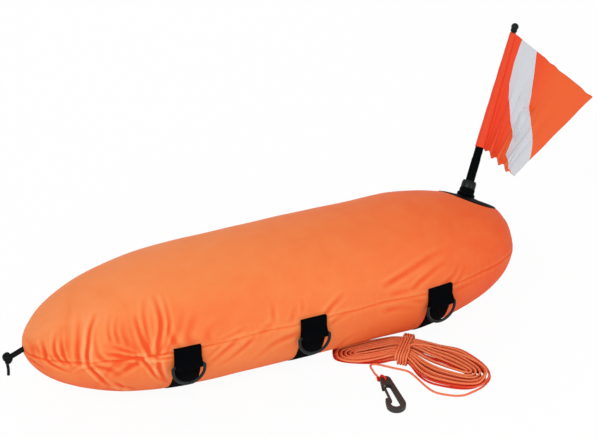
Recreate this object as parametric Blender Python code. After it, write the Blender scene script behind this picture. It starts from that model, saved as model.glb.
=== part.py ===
"""Dive float buoy: an inflated torpedo float in a sewn cover, with a flag mast, ring straps and a line.

The float lies along X on the plane z = 0, rolled a little about its own length. The origin is on that plane,
under the middle strap. Angles around the float are in degrees from straight up, positive towards -Y, which is
the side that its front rings are on. Sizes are in metres.
"""

from math import atan2, cos, degrees, exp, pi, radians, sin, sqrt, tan

import bmesh
import bpy
import numpy as np
from mathutils import Matrix, Vector

CLEARANCE = 0.0003

# Float body, as a turned profile with two unlike ends
FLOAT_DIAMETER = 0.235
LEFT_TIP_X = -0.450
RIGHT_TIP_X = 0.410
LEFT_END_LENGTH = 0.340
LEFT_END_POWERS = (2.7, 1.8)
RIGHT_END_LENGTH = 0.205
RIGHT_END_POWERS = (1.35, 2.85)
AXIS_HEIGHT = 0.1155
COVER_THICKNESS = 0.001
RIGHT_TIP_HOLE_RADIUS = 0.0015

# Seams of the two cover panels
FRONT_SEAM_ANGLE = 86.0
BACK_SEAM_ANGLE = 220.0
SEAM_GAP_ANGLE = 0.2
SEAM_TAPE_WIDTH = 0.010
SEAM_TAPE_THICKNESS = 0.0006
TOP_PANEL_SEGMENTS = 20
BOTTOM_PANEL_SEGMENTS = 12
LEFT_END_ROWS = 9
MIDDLE_ROWS = 3
RIGHT_END_ROWS = 8

# Bladder, its valve and the ballast strip under it
BLADDER_THICKNESS = 0.001
BLADDER_SEGMENTS = 16
BLADDER_END_RADIUS = 0.055
VALVE_STEM_INSIDE = 0.004
VALVE_BORE_RADIUS = 0.0035
VALVE_STEM_RADIUS = 0.007
VALVE_FLANGE_RADIUS = 0.018
VALVE_FLANGE_THICKNESS = 0.0016
VALVE_STEM_LENGTH = 0.016
VALVE_CAP_WALL = 0.0012
VALVE_CAP_EDGE = 0.001
VALVE_CAP_LENGTH = 0.0085
VALVE_CAP_SEAT = 0.005
KEEL_ANGLE = 153.0
KEEL_LENGTH = 0.240
KEEL_CENTRE_X = 0.020
KEEL_WIDTH = 0.028
KEEL_THICKNESS = 0.004

# Straps, the folded keepers on their ends, and the rings
STRAP_WIDTH = 0.044
STRAP_THICKNESS = 0.0018
STRAP_STATIONS = {"left": -0.215, "middle": 0.0, "right": 0.228}
STRAP_PAST_SEAM_ANGLE = 3.6
LEAST_ROW_SPACING = 0.012
KEEPER_THICKNESS = 0.0016
KEEPER_LENGTH = 0.0316
KEEPER_SLOPE_LENGTH = 0.012
KEEPER_END_MARGIN = 0.0005
KEEPER_EASE_LENGTH = 0.004
KEEPER_EASE_RISE = 0.0004
RING_WIRE_DIAMETER = 0.0050
RING_SIDE_CLEARANCE = 0.0018
RING_DEPTH = 0.0335
RING_CORNER_RADIUS = 0.004
RING_RUNNING_CLEARANCE = 0.0015
RING_FLOOR_CLEARANCE = 0.0004

# Mast and its base
MAST_BASE_X = 0.350
MAST_ANGLE = -27.0
MAST_TILT = 28.5
BASE_RADIUS = 0.050
BASE_RIM_THICKNESS = 0.001
BASE_GAP = 0.0006
BASE_HOLE_RADIUS = 0.004
BASE_SEAT_RADIUS = 0.0165
BASE_SEAT_HEIGHT = 0.005
BASE_RINGS = (0.0205, 0.0245, 0.0285, 0.033, 0.038, 0.044)
BASE_FADE_POWER = 4.0
MAST_FLAT_DEPTH = 0.006
BOSS_RADIUS = 0.0155
BOSS_FLANGE_HEIGHT = 0.0045
BOSS_NECK_RADIUS = 0.0132
BOSS_HEIGHT = 0.013
BOSS_EDGE = 0.001
SOCKET_NECK_RADIUS = 0.0108
SOCKET_HEIGHT = 0.0245
SOCKET_FLOOR = 0.0085
COLLAR_RADIUS = 0.0126
COLLAR_EDGE = 0.001
COLLAR_TOP_RADIUS = 0.0112
COLLAR_TAPER_LENGTH = 0.004
COLLAR_LIP_THICKNESS = 0.0022
GRIP_RADIUS = 0.0076
GRIP_UPPER_RADIUS = 0.0071
GRIP_STEP_BELOW_FLAG = 0.020
GRIP_STEP_SLOPE = 0.0008
GRIP_TOP_ABOVE_FLAG = 0.014
GRIP_BORE_DEPTH = 0.050
ROD_RADIUS = 0.0045
BALL_HEIGHT = 0.303
BALL_RADIUS = 0.0065
BALL_NECK_RADIUS = 0.0058
BALL_NECK_LENGTH = 0.0085
BALL_BORE_DEPTH = 0.006

# Flag, in the plane of the mast and of the direction in which it is blown
FLAG_HOIST = 0.205
FLAG_FLY = 0.172
FLAG_BALL_GAP = 0.0035
FLAG_THICKNESS = 0.0008
FLAG_BEARING = -20.5
FLAG_TOP_CORNER = (0.161, 0.138)
FLAG_LOW_CORNER = (0.074, -0.022)
FLAG_FOLDS = 3.5
FLAG_FOLD_SLANT = 0.5
FLAG_FLAT_SHARE = 0.125
FLAG_SLEEVE_LAG = 0.015
FLAG_COLUMNS = 28
FLAG_ROWS = 10
SLEEVE_THICKNESS = 0.0008
SLEEVE_TAPER_LENGTH = 0.010

# Drawcord at the left end's mouth
DRAWCORD_DIAMETER = 0.0044
DRAWCORD_KNOT = (-0.4766, 0.0, 0.1045)
DRAWCORD_KNOT_RADIUS = 0.0082
DRAWCORD_TURN_X = -0.4440
DRAWCORD_SPACING = 0.0052
DRAWCORD_SIDE_CLEARANCE = 0.0004
DRAWCORD_TAIL_LENGTH = 0.0245
DRAWCORD_TAIL_SWAY = 0.001

# Line: a hank of loops, the turns that tie it, the free strand and its knot
LINE_DIAMETER = 0.0036
HANK_LAYERS = 4
HANK_LOOPS_PER_LAYER = 5
HANK_POINTS_PER_LOOP = 24
HANK_PITCH = 0.0048
HANK_LAYER_PITCH = 0.0042
HANK_WAIST = (0.172, -0.1095)
HANK_LEFT_LENGTH = 0.126
HANK_LEFT_BEARING = 160.0
HANK_RIGHT_LENGTH = 0.154
HANK_RIGHT_BEARING = -58.0
HANK_BEND_LENGTH = 0.030
HANK_WAIST_INNER_HALF = 0.0024
HANK_LEFT_INNER_HALF = 0.0030
HANK_LEFT_STEP = 0.0056
HANK_RIGHT_INNER_HALF = 0.011
HANK_RIGHT_STEP = 0.0102
HANK_END_STEP = 0.0072
HANK_SWELL_LENGTH = 0.085
HANK_LEFT_SQUARENESS = 0.55
HANK_RIGHT_SQUARENESS = 0.72
HANK_START_BEARING = -12.0
HANK_FLOAT_GAP = 0.0008
HANK_UNDER_FLOAT = 0.050
HANK_LEAN_START = 0.030
HANK_LEAN_LENGTH = 0.075
HANK_FLOOR_GAP = 0.0002
WAIST_LIFT_LENGTH = 0.034
TIE_TURNS = 4
TIE_PITCH = 0.0048
TIE_POINTS_PER_TURN = 14
TIE_CLEARANCE = 0.002
TIE_SIDE_CLEARANCE = 0.0046
TIE_SQUARENESS = 0.35
LINE_TAIL_POINTS = (
    (0.2170, -0.2475, 0.0021),
    (0.2080, -0.2470, 0.0021),
    (0.1990, -0.2440, 0.0021),
    (0.1880, -0.2370, 0.0021),
    (0.1760, -0.2270, 0.0021),
    (0.1690, -0.2160, 0.0021),
    (0.1650, -0.2000, 0.0021),
    (0.1625, -0.1830, 0.0021),
    (0.1600, -0.1660, 0.0021),
    (0.1560, -0.1530, 0.0021),
    (0.1480, -0.1440, 0.0021),
    (0.1375, -0.1345, 0.0021),
    (0.1285, -0.1255, 0.0021),
    (0.1190, -0.1165, 0.0021),
    (0.1110, -0.1120, 0.0021),
    (0.1050, -0.1150, 0.0021),
    (0.1035, -0.1270, 0.0021),
    (0.1025, -0.1390, 0.0028),
    (0.1018, -0.1474, 0.0050),
    (0.1015, -0.1533, 0.0062),
)

# Snap hook, drawn from its eye (0, 0) along its length, with its spine on the positive side
HOOK_EYE = (0.1065, -0.1715)
HOOK_BEARING = -100.7
HOOK_EYE_HEIGHT = 0.0090
HOOK_BEND_HEIGHT = 0.0048
HOOK_THICKNESS = 0.009
HOOK_EYE_RADIUS = 0.009
HOOK_EYE_HOLE_RADIUS = 0.0032
HOOK_BEND_CENTRE = (0.062, 0.002)
HOOK_BEND_RADIUS = 0.016
HOOK_BEND_WALL = 0.0080
HOOK_BEND_SHIFT = 0.0005
HOOK_SPINE_WALL = 0.0075
HOOK_WINDOW_TOP = 0.013
HOOK_HINGE_END = 0.020
HOOK_NOSE_END = 0.046
HOOK_NOSE_WALL = 0.0060
HOOK_CORNER = 0.002
HOOK_BLOCK_MARGIN = 0.0006
HOOK_EDGE_ROUND = 0.0011
GATE_PIN = (0.0162, -0.0060)
GATE_PIN_RADIUS = 0.0011
GATE_KNUCKLE_RADIUS = 0.0028
GATE_WIDTH = 0.0050
GATE_TIP = (0.0530, -0.0040)
GATE_THICKNESS = 0.0030
GATE_POINT = 0.0008
GATE_SLOT_RUN = 0.004
GATE_SLOT_MARGIN = 0.001
GATE_PIN_RECESS = 0.0004
LINE_LOOP_BEARING = 110.8
LINE_KNOT_RADIUS = 0.0046
LINE_KNOT_DROP = 0.0035
LINE_LOOP_SQUARENESS = 0.6
LINE_LOOP_STEPS = 20
LINE_LOOP_SIDES = 8

RADIUS = FLOAT_DIAMETER / 2
MOUTH_RADIUS = (DRAWCORD_SPACING + DRAWCORD_DIAMETER) / 2 + DRAWCORD_SIDE_CLEARANCE
STRAP_STACK = STRAP_THICKNESS + CLEARANCE
RING_WIRE_RADIUS = RING_WIRE_DIAMETER / 2
RING_INNER_WIDTH = STRAP_WIDTH + 2 * RING_SIDE_CLEARANCE
RING_FLOOR_REST = RING_WIRE_RADIUS + RING_FLOOR_CLEARANCE
FLAG_BOTTOM_HEIGHT = BALL_HEIGHT - BALL_NECK_LENGTH - FLAG_BALL_GAP - FLAG_HOIST
GRIP_STEP_HEIGHT = FLAG_BOTTOM_HEIGHT - GRIP_STEP_BELOW_FLAG
GRIP_TOP_HEIGHT = FLAG_BOTTOM_HEIGHT + GRIP_TOP_ABOVE_FLAG
FACET_SAG = 0.0006
LAYER_GAP = FACET_SAG + CLEARANCE
TAPE_OUTER = -COVER_THICKNESS - LAYER_GAP
TAPE_INNER = TAPE_OUTER - SEAM_TAPE_THICKNESS
BLADDER_OUTER = TAPE_INNER - CLEARANCE
KEEL_INNER = TAPE_OUTER - KEEL_THICKNESS


def new_material(name, colour, roughness, metallic=0.0):
    """A Principled material of one colour."""
    material = bpy.data.materials.new(name)
    material.use_nodes = True
    shader = material.node_tree.nodes["Principled BSDF"]
    shader.inputs["Base Color"].default_value = (*colour, 1.0)
    shader.inputs["Roughness"].default_value = roughness
    shader.inputs["Metallic"].default_value = metallic
    material.diffuse_color = (*colour, 1.0)
    return material


def link(name, data, material, smooth_angle=40.0, parent=None):
    """Puts a mesh or a curve into the scene under its node name."""
    obj = bpy.data.objects.new(name, data)
    bpy.context.scene.collection.objects.link(obj)
    data.materials.append(material)
    if obj.type == "MESH" and smooth_angle:
        data.shade_smooth()
        data.set_sharp_from_angle(angle=radians(smooth_angle))
    if parent:
        obj.parent = parent
        obj.matrix_parent_inverse = parent.matrix_world.inverted()
    return obj


def mesh_from(bm, name):
    """Closes a bmesh into mesh data with its faces pointing out."""
    bmesh.ops.recalc_face_normals(bm, faces=bm.faces)
    mesh = bpy.data.meshes.new(name)
    bm.to_mesh(mesh)
    bm.free()
    return mesh


def skin_rings(name, rings, cyclic=False, caps=False):
    """A mesh through rings of points, each joined to the next. A ring of one point is a pole."""
    bm = bmesh.new()
    loops = [[bm.verts.new(point) for point in ring] for ring in rings]
    pairs = list(zip(loops, loops[1:]))
    if cyclic:
        pairs.append((loops[-1], loops[0]))
    for first, second in pairs:
        count = max(len(first), len(second))
        for step in range(count):
            corners = [first[step % len(first)], first[(step + 1) % len(first)]]
            corners += [second[(step + 1) % len(second)], second[step % len(second)]]
            bm.faces.new(list(dict.fromkeys(corners)))
    if caps:
        bm.faces.new(loops[0])
        bm.faces.new(list(reversed(loops[-1])))
    return mesh_from(bm, name)


def sheet_mesh(name, upper, lower):
    """A closed sheet between two grids of points, each a list of rows."""
    bm = bmesh.new()
    sides = [[[bm.verts.new(point) for point in row] for row in grid] for grid in (upper, lower)]
    top, bottom = sides
    last = len(top[0]) - 1
    for grid in sides:
        for row, after in zip(grid, grid[1:]):
            for column in range(last):
                bm.faces.new((row[column], row[column + 1], after[column + 1], after[column]))
    for high, low in ((top[0], bottom[0]), (top[-1], bottom[-1])):
        for column in range(last):
            bm.faces.new((high[column], high[column + 1], low[column + 1], low[column]))
    for column in (0, last):
        for index in range(len(top) - 1):
            high = (top[index][column], top[index + 1][column])
            low = (bottom[index + 1][column], bottom[index][column])
            bm.faces.new((*high, *low))
    return mesh_from(bm, name)


def cord(name, points, diameter, material, sides_level=2, cyclic=False):
    """A round cord through its points, as a curve with filled ends."""
    curve = bpy.data.curves.new(name, "CURVE")
    curve.dimensions = "3D"
    curve.bevel_depth = diameter / 2
    curve.bevel_resolution = sides_level
    curve.use_fill_caps = not cyclic
    spline = curve.splines.new("POLY")
    spline.points.add(len(points) - 1)
    for place, point in zip(spline.points, points):
        place.co = (*point, 1.0)
    spline.use_cyclic_u = cyclic
    return link(name, curve, material)


def smooth_route(points, spacing):
    """Points at even steps along a smooth curve through the given ones."""
    route = [Vector(point) for point in points]
    padded = [2 * route[0] - route[1], *route, 2 * route[-1] - route[-2]]
    fine = []
    for before, start, end, after in zip(padded, padded[1:], padded[2:], padded[3:]):
        for step in range(20):
            t = step / 20
            bend = (2 * before - 5 * start + 4 * end - after) * t * t
            bend += (3 * start - before - 3 * end + after) * t * t * t
            fine.append(start + ((end - before) * t + bend) / 2)
    fine.append(route[-1])
    lengths = [0.0]
    for start, end in zip(fine, fine[1:]):
        lengths.append(lengths[-1] + (end - start).length)
    count = max(2, round(lengths[-1] / spacing))
    places = np.interp(np.linspace(0, lengths[-1], count + 1), lengths, range(len(fine)))
    return [fine[int(place)].lerp(fine[min(int(place) + 1, len(fine) - 1)], place % 1) for place in places]


# Float surface
def end_radius(share, powers):
    """The radius at a share of an end's length, from 0 at its shoulder to 1 at its tip."""
    rise, fall = powers
    return RADIUS * max(0.0, 1 - share**rise) ** (1 / fall)


def end_share(radius, powers):
    """The share of an end's length at which it has the given radius."""
    rise, fall = powers
    return (1 - (radius / RADIUS) ** fall) ** (1 / rise)


LEFT_SHOULDER_X = LEFT_TIP_X + LEFT_END_LENGTH
RIGHT_SHOULDER_X = RIGHT_TIP_X - RIGHT_END_LENGTH


def float_radius(x):
    """The cover's outer radius at a place along the float."""
    if x < LEFT_SHOULDER_X:
        return end_radius((LEFT_SHOULDER_X - x) / LEFT_END_LENGTH, LEFT_END_POWERS)
    if x > RIGHT_SHOULDER_X:
        return end_radius((x - RIGHT_SHOULDER_X) / RIGHT_END_LENGTH, RIGHT_END_POWERS)
    return RADIUS


def profile_normal(x):
    """The outward normal of the profile, as its parts along the float and away from its axis."""
    reach = 0.00005
    low = max(LEFT_TIP_X, x - reach)
    high = min(RIGHT_TIP_X, x + reach)
    normal = Vector((float_radius(low) - float_radius(high), high - low))
    return normal.normalized()


def full_point(x, angle, out):
    """A point at a distance outside the skin without its mast. The floor presses its underside flat."""
    normal = profile_normal(x)
    distance = float_radius(x) + normal.y * out
    turn = radians(angle)
    height = AXIS_HEIGHT + distance * cos(turn)
    return Vector((x + normal.x * out, -distance * sin(turn), max(height, STRAP_STACK - out)))


def mast_axes():
    """The directions of the mast's frame: X towards the float's right end, Z up the mast."""
    turn = radians(MAST_ANGLE)
    tilt = radians(MAST_TILT)
    up = Vector((sin(tilt), -cos(tilt) * sin(turn), cos(tilt) * cos(turn)))
    right = Vector((cos(tilt), sin(tilt) * sin(turn), -sin(tilt) * cos(turn)))
    return right, up.cross(right), up


MAST_FOOT = full_point(MAST_BASE_X, MAST_ANGLE, 0.0)
MAST_UP = mast_axes()[2]


def float_point(x, angle, out):
    """A point at a distance outside the cover's skin, which the mast's stiff base presses flat."""
    point = full_point(x, angle, out)
    above = (point - MAST_FOOT).dot(MAST_UP) + MAST_FLAT_DEPTH - out
    return point - MAST_UP * max(0.0, above)


def float_frame(x, angle, out):
    """A matrix at a point of the float: X along it, Y around it with the angle, Z outwards."""
    normal = profile_normal(x)
    turn = radians(angle)
    outward = Vector((normal.x, -normal.y * sin(turn), normal.y * cos(turn)))
    around = Vector((0.0, -cos(turn), -sin(turn)))
    along = around.cross(outward)
    matrix = Matrix((along, around, outward)).transposed().to_4x4()
    matrix.translation = float_point(x, angle, out)
    return matrix


def end_rows(tip_radius, rows, powers):
    """Shares of an end's length from its tip to its shoulder, closer together near the tip."""
    last = end_share(tip_radius, powers)
    steep = np.arcsin(last)
    return [sin(steep * (1 - row / rows)) for row in range(rows)]


def strap_rows(x):
    """The places across a strap that its rows of points stand at."""
    return [x - STRAP_WIDTH / 2, x, x + STRAP_WIDTH / 2]


def cover_rows():
    """The places along the float that the cover's rows of points stand at, those of the straps among them."""
    left_shares = end_rows(MOUTH_RADIUS, LEFT_END_ROWS, LEFT_END_POWERS)
    left = [LEFT_SHOULDER_X - share * LEFT_END_LENGTH for share in left_shares]
    right_shares = end_rows(RIGHT_TIP_HOLE_RADIUS, RIGHT_END_ROWS, RIGHT_END_POWERS)
    right = [RIGHT_SHOULDER_X + share * RIGHT_END_LENGTH for share in right_shares]
    middle = list(np.linspace(LEFT_SHOULDER_X, RIGHT_SHOULDER_X, MIDDLE_ROWS + 1))
    strapped = [row for x in STRAP_STATIONS.values() for row in strap_rows(x)]
    others = [x for x in left + middle + right if min(abs(x - row) for row in strapped) > LEAST_ROW_SPACING]
    return sorted(strapped + others)


def layer(name, rows, angles, outer, inner, material):
    """A closed sheet that follows the float between two distances from the cover's skin."""
    upper = [[float_point(x, angle, outer) for angle in angles] for x in rows]
    lower = [[float_point(x, angle, inner) for angle in angles] for x in rows]
    return link(name, sheet_mesh(name, upper, lower), material)


def panel_angles(start, end, segments):
    """The angles that a panel's columns of points stand at, from one seam to the next."""
    return list(np.linspace(start + SEAM_GAP_ANGLE, end - SEAM_GAP_ANGLE, segments + 1))


def build_cover(fabric, tape):
    rows = cover_rows()
    top = panel_angles(BACK_SEAM_ANGLE - 360, FRONT_SEAM_ANGLE, TOP_PANEL_SEGMENTS)
    bottom = panel_angles(FRONT_SEAM_ANGLE, BACK_SEAM_ANGLE, BOTTOM_PANEL_SEGMENTS)
    layer("cover_top_panel", rows, top, 0.0, -COVER_THICKNESS, fabric)
    layer("cover_bottom_panel", rows, bottom, 0.0, -COVER_THICKNESS, fabric)
    tape_rows = [x for x in rows if float_radius(x) > SEAM_TAPE_WIDTH * 3]
    half = degrees(SEAM_TAPE_WIDTH / 2 / RADIUS)
    for name, seam in (("seam_tape_front", FRONT_SEAM_ANGLE), ("seam_tape_back", BACK_SEAM_ANGLE)):
        layer(name, tape_rows, [seam - half, seam, seam + half], TAPE_OUTER, TAPE_INNER, tape)


def keel_span():
    return KEEL_CENTRE_X - KEEL_LENGTH / 2, KEEL_CENTRE_X + KEEL_LENGTH / 2


def bladder_out(x, angle):
    """How far the bladder's skin lies from the cover's, with the dent that the ballast presses into it."""
    start, end = keel_span()
    step = 360 / BLADDER_SEGMENTS
    beside = abs((angle - KEEL_ANGLE + 180) % 360 - 180) < step
    if beside and start - KEEL_WIDTH < x < end + KEEL_WIDTH:
        return KEEL_INNER - CLEARANCE
    return BLADDER_OUTER


def bladder_rows():
    """The bladder's rows of points: every other row of the cover's, with its flat end at the first."""
    rows = [x for x in cover_rows() if float_radius(x) >= BLADDER_END_RADIUS]
    left = [x for x in rows if x < LEFT_SHOULDER_X]
    right = [x for x in cover_rows() if x > RIGHT_SHOULDER_X]
    start, end = keel_span()
    dented = [start - KEEL_WIDTH * 1.5, start - KEEL_WIDTH / 2, end + KEEL_WIDTH / 2, end + KEEL_WIDTH * 1.5]
    return left[0], left[2::2] + dented + right[:-1:2]


def build_bladder(film, plastic, lead):
    start, end = keel_span()
    first, rows = bladder_rows()
    rim_point = float_point(first, 0.0, BLADDER_OUTER)
    seat = rim_point.x
    rim = rim_point.z - AXIS_HEIGHT
    step = 360 / BLADDER_SEGMENTS
    angles = [KEEL_ANGLE + (index + 0.5) * step for index in range(BLADDER_SEGMENTS)]
    bore = VALVE_STEM_RADIUS + CLEARANCE

    def flat_ring(x, radius):
        turns = [radians(angle) for angle in angles]
        return [Vector((x, -radius * sin(turn), AXIS_HEIGHT + radius * cos(turn))) for turn in turns]

    outer = [flat_ring(seat, bore), flat_ring(seat, rim)]
    outer += [[float_point(x, angle, bladder_out(x, angle)) for angle in angles] for x in rows]
    outer.append([Vector((RIGHT_TIP_X + BLADDER_OUTER, 0.0, AXIS_HEIGHT))])
    deep = BLADDER_THICKNESS
    inner = [flat_ring(seat + deep, bore), flat_ring(seat + deep, rim - deep)]
    inner += [[float_point(x, angle, bladder_out(x, angle) - deep) for angle in angles] for x in rows]
    inner.append([Vector((RIGHT_TIP_X + BLADDER_OUTER - deep, 0.0, AXIS_HEIGHT))])
    link("bladder", skin_rings("bladder", outer[::-1] + inner), film)

    place = Matrix.Translation((seat, 0.0, AXIS_HEIGHT)) @ Matrix.Rotation(radians(-90), 4, "Y")
    flange = VALVE_FLANGE_THICKNESS + CLEARANCE
    tip = flange + VALVE_STEM_LENGTH
    body = [(VALVE_BORE_RADIUS, -VALVE_STEM_INSIDE), (VALVE_STEM_RADIUS, -VALVE_STEM_INSIDE)]
    body.append((VALVE_STEM_RADIUS, CLEARANCE))
    body += [(VALVE_FLANGE_RADIUS, CLEARANCE), (VALVE_FLANGE_RADIUS, flange), (VALVE_STEM_RADIUS, flange)]
    body += [(VALVE_STEM_RADIUS, tip), (VALVE_BORE_RADIUS, tip)]
    turned("valve_body", body, place, plastic, steps=20, hollow=True)
    inside = VALVE_STEM_RADIUS + CLEARANCE
    outside = inside + VALVE_CAP_WALL
    mouth = tip - VALVE_CAP_SEAT
    top = mouth + VALVE_CAP_LENGTH
    cap = [(inside, mouth), (outside, mouth), (outside, top - VALVE_CAP_EDGE)]
    cap += [(outside - VALVE_CAP_EDGE, top), (0.0, top), (0.0, tip + CLEARANCE), (inside, tip + CLEARANCE)]
    turned("valve_cap", cap, place, plastic, steps=20)

    half = degrees(KEEL_WIDTH / 2 / RADIUS)
    keel_angles = [KEEL_ANGLE - half, KEEL_ANGLE, KEEL_ANGLE + half]
    layer("keel_weight", [start, end], keel_angles, TAPE_OUTER, KEEL_INNER, lead)


def turned(name, profile, place, material, steps=22, hollow=False):
    """A turned solid from (radius, height) points. Its profile is opened at the axis, where it meets that."""
    poles = [index for index, point in enumerate(profile) if point[0] == 0]
    if poles and poles[0] > 0:
        profile = profile[poles[1] :] + profile[: poles[1]]
    rings = []
    for radius, height in profile:
        turns = [2 * pi * step / steps for step in range(steps if radius else 1)]
        rings.append([place @ Vector((radius * cos(turn), radius * sin(turn), height)) for turn in turns])
    mesh = skin_rings(name, rings, cyclic=hollow, caps=not hollow and not poles)
    return link(name, mesh, material)


# Straps and rings
def strap_angles():
    """The angles of a strap's two ends, which are sewn on past the seams."""
    return FRONT_SEAM_ANGLE - STRAP_PAST_SEAM_ANGLE, BACK_SEAM_ANGLE + STRAP_PAST_SEAM_ANGLE


def bar_height():
    """The ring bar's axis over the strap's outer face."""
    return CLEARANCE + KEEPER_THICKNESS + RING_RUNNING_CLEARANCE + RING_WIRE_RADIUS


def bar_place(x, side):
    """The frame of a ring's bar, midway between its keeper's edges, with Y from the strap's end to the keel."""
    low, high = strap_angles()
    across = degrees(KEEPER_LENGTH / float_radius(x))
    angle = low + across if side == "front" else high - across
    out = STRAP_STACK + bar_height()
    frame = float_frame(x, angle, out)
    edges = [float_point(x + reach, angle, out) for reach in (-STRAP_WIDTH / 2, STRAP_WIDTH / 2)]
    along = frame.col[0].to_3d()
    frame.translation += along * along.dot((edges[0] + edges[1]) / 2 - frame.translation)
    if side == "back":
        frame = frame @ Matrix.Rotation(pi, 4, "Z")
    return frame


def ring_rest_turn(x, side):
    """How far a resting ring is turned about its bar from lying flat along the strap."""
    frame = bar_place(x, side)
    if side == "front":
        down = frame.to_3x3().inverted() @ Vector((0, 0, -1))
        return atan2(down.z, down.y)
    centre = frame.translation
    drop = (centre.z - RING_FLOOR_REST) / RING_DEPTH
    out = Vector((0.0, sqrt(1 - drop * drop), -drop))
    lying = frame.to_3x3().inverted() @ out
    return atan2(lying.z, lying.y)


def ring_outline():
    """The closed centre line of a ring, from its bar at y = 0 to its bow."""
    half = RING_INNER_WIDTH / 2 + RING_WIRE_RADIUS
    points = []
    for side in (-1, 1):
        corner = []
        for step in range(3):
            turn = radians(90 * step / 2)
            x = half - RING_CORNER_RADIUS + RING_CORNER_RADIUS * sin(turn)
            corner.append((side * x, RING_CORNER_RADIUS - RING_CORNER_RADIUS * cos(turn)))
        points.append(corner)
    bow_centre = RING_DEPTH - half
    bow = []
    for step in range(11):
        turn = pi * step / 10
        bow.append((half * cos(turn), bow_centre + half * sin(turn)))
    return points[1] + bow + points[0][::-1]


def build_keeper(name, x, side, webbing):
    """A folded end of webbing: under the ring's bar, round it and back over itself."""
    low, high = strap_angles()
    reach = KEEPER_THICKNESS / 2
    back = CLEARANCE + reach
    front = back + KEEPER_THICKNESS + CLEARANCE
    bend = RING_WIRE_RADIUS + RING_RUNNING_CLEARANCE + reach
    height = bar_height()
    start = KEEPER_END_MARGIN
    flat_end = KEEPER_LENGTH - KEEPER_SLOPE_LENGTH
    path = [(start + (KEEPER_LENGTH - start) * step / 3, back) for step in range(3)]
    for step in range(7):
        turn = radians(-90 + 180 * step / 6)
        path.append((KEEPER_LENGTH + bend * cos(turn), height + bend * sin(turn)))
    path += [(KEEPER_LENGTH - KEEPER_SLOPE_LENGTH * 0.4, height + bend * 0.72)]
    path += [(flat_end, front + KEEPER_EASE_RISE), (flat_end - KEEPER_EASE_LENGTH, front)]
    path += [(flat_end / 2, front), (start, front)]
    left = []
    right = []
    for index, point in enumerate(path):
        before = Vector(path[max(index - 1, 0)])
        after = Vector(path[min(index + 1, len(path) - 1)])
        along = (after - before).normalized()
        normal = Vector((-along.y, along.x)) * reach
        left.append(Vector(point) + normal)
        right.append(Vector(point) - normal)
    outline = left + right[::-1]
    rings = []
    for place_x in strap_rows(x):
        ring = []
        for along, out in outline:
            turn = degrees(along / float_radius(x))
            angle = low + turn if side == "front" else high - turn
            ring.append(float_point(place_x, angle, STRAP_STACK + out))
        rings.append(ring)
    return link(name, skin_rings(name, rings, caps=True), webbing, smooth_angle=30)


def build_straps(webbing, plastic):
    low, high = strap_angles()
    under = panel_angles(FRONT_SEAM_ANGLE, BACK_SEAM_ANGLE, BOTTOM_PANEL_SEGMENTS)
    angles = [low, *under, high]
    for station, x in STRAP_STATIONS.items():
        layer(f"strap_{station}", strap_rows(x), angles, STRAP_STACK, CLEARANCE, webbing)
        for side in ("front", "back"):
            build_keeper(f"ring_keeper_{station}_{side}", x, side, webbing)
            frame = bar_place(x, side) @ Matrix.Rotation(ring_rest_turn(x, side), 4, "X")
            outline = [(px, py, 0.0) for px, py in ring_outline()]
            ring = cord(f"d_ring_{station}_{side}", outline, RING_WIRE_DIAMETER, plastic, cyclic=True)
            ring.matrix_world = frame


# Mast and flag
def mast_frame():
    """A matrix at the mast's foot, where the skin would be if the base didn't press it flat."""
    matrix = Matrix(mast_axes()).transposed().to_4x4()
    matrix.translation = MAST_FOOT
    return matrix


def base_skin(reach, turn, out):
    """A point of the float's skin at a distance and bearing from the mast's foot."""
    normal = profile_normal(MAST_BASE_X)
    x = MAST_BASE_X + reach * cos(turn) * normal.y
    angle = MAST_ANGLE - degrees(reach * sin(turn) / float_radius(x))
    return float_point(x, angle, out)


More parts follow.
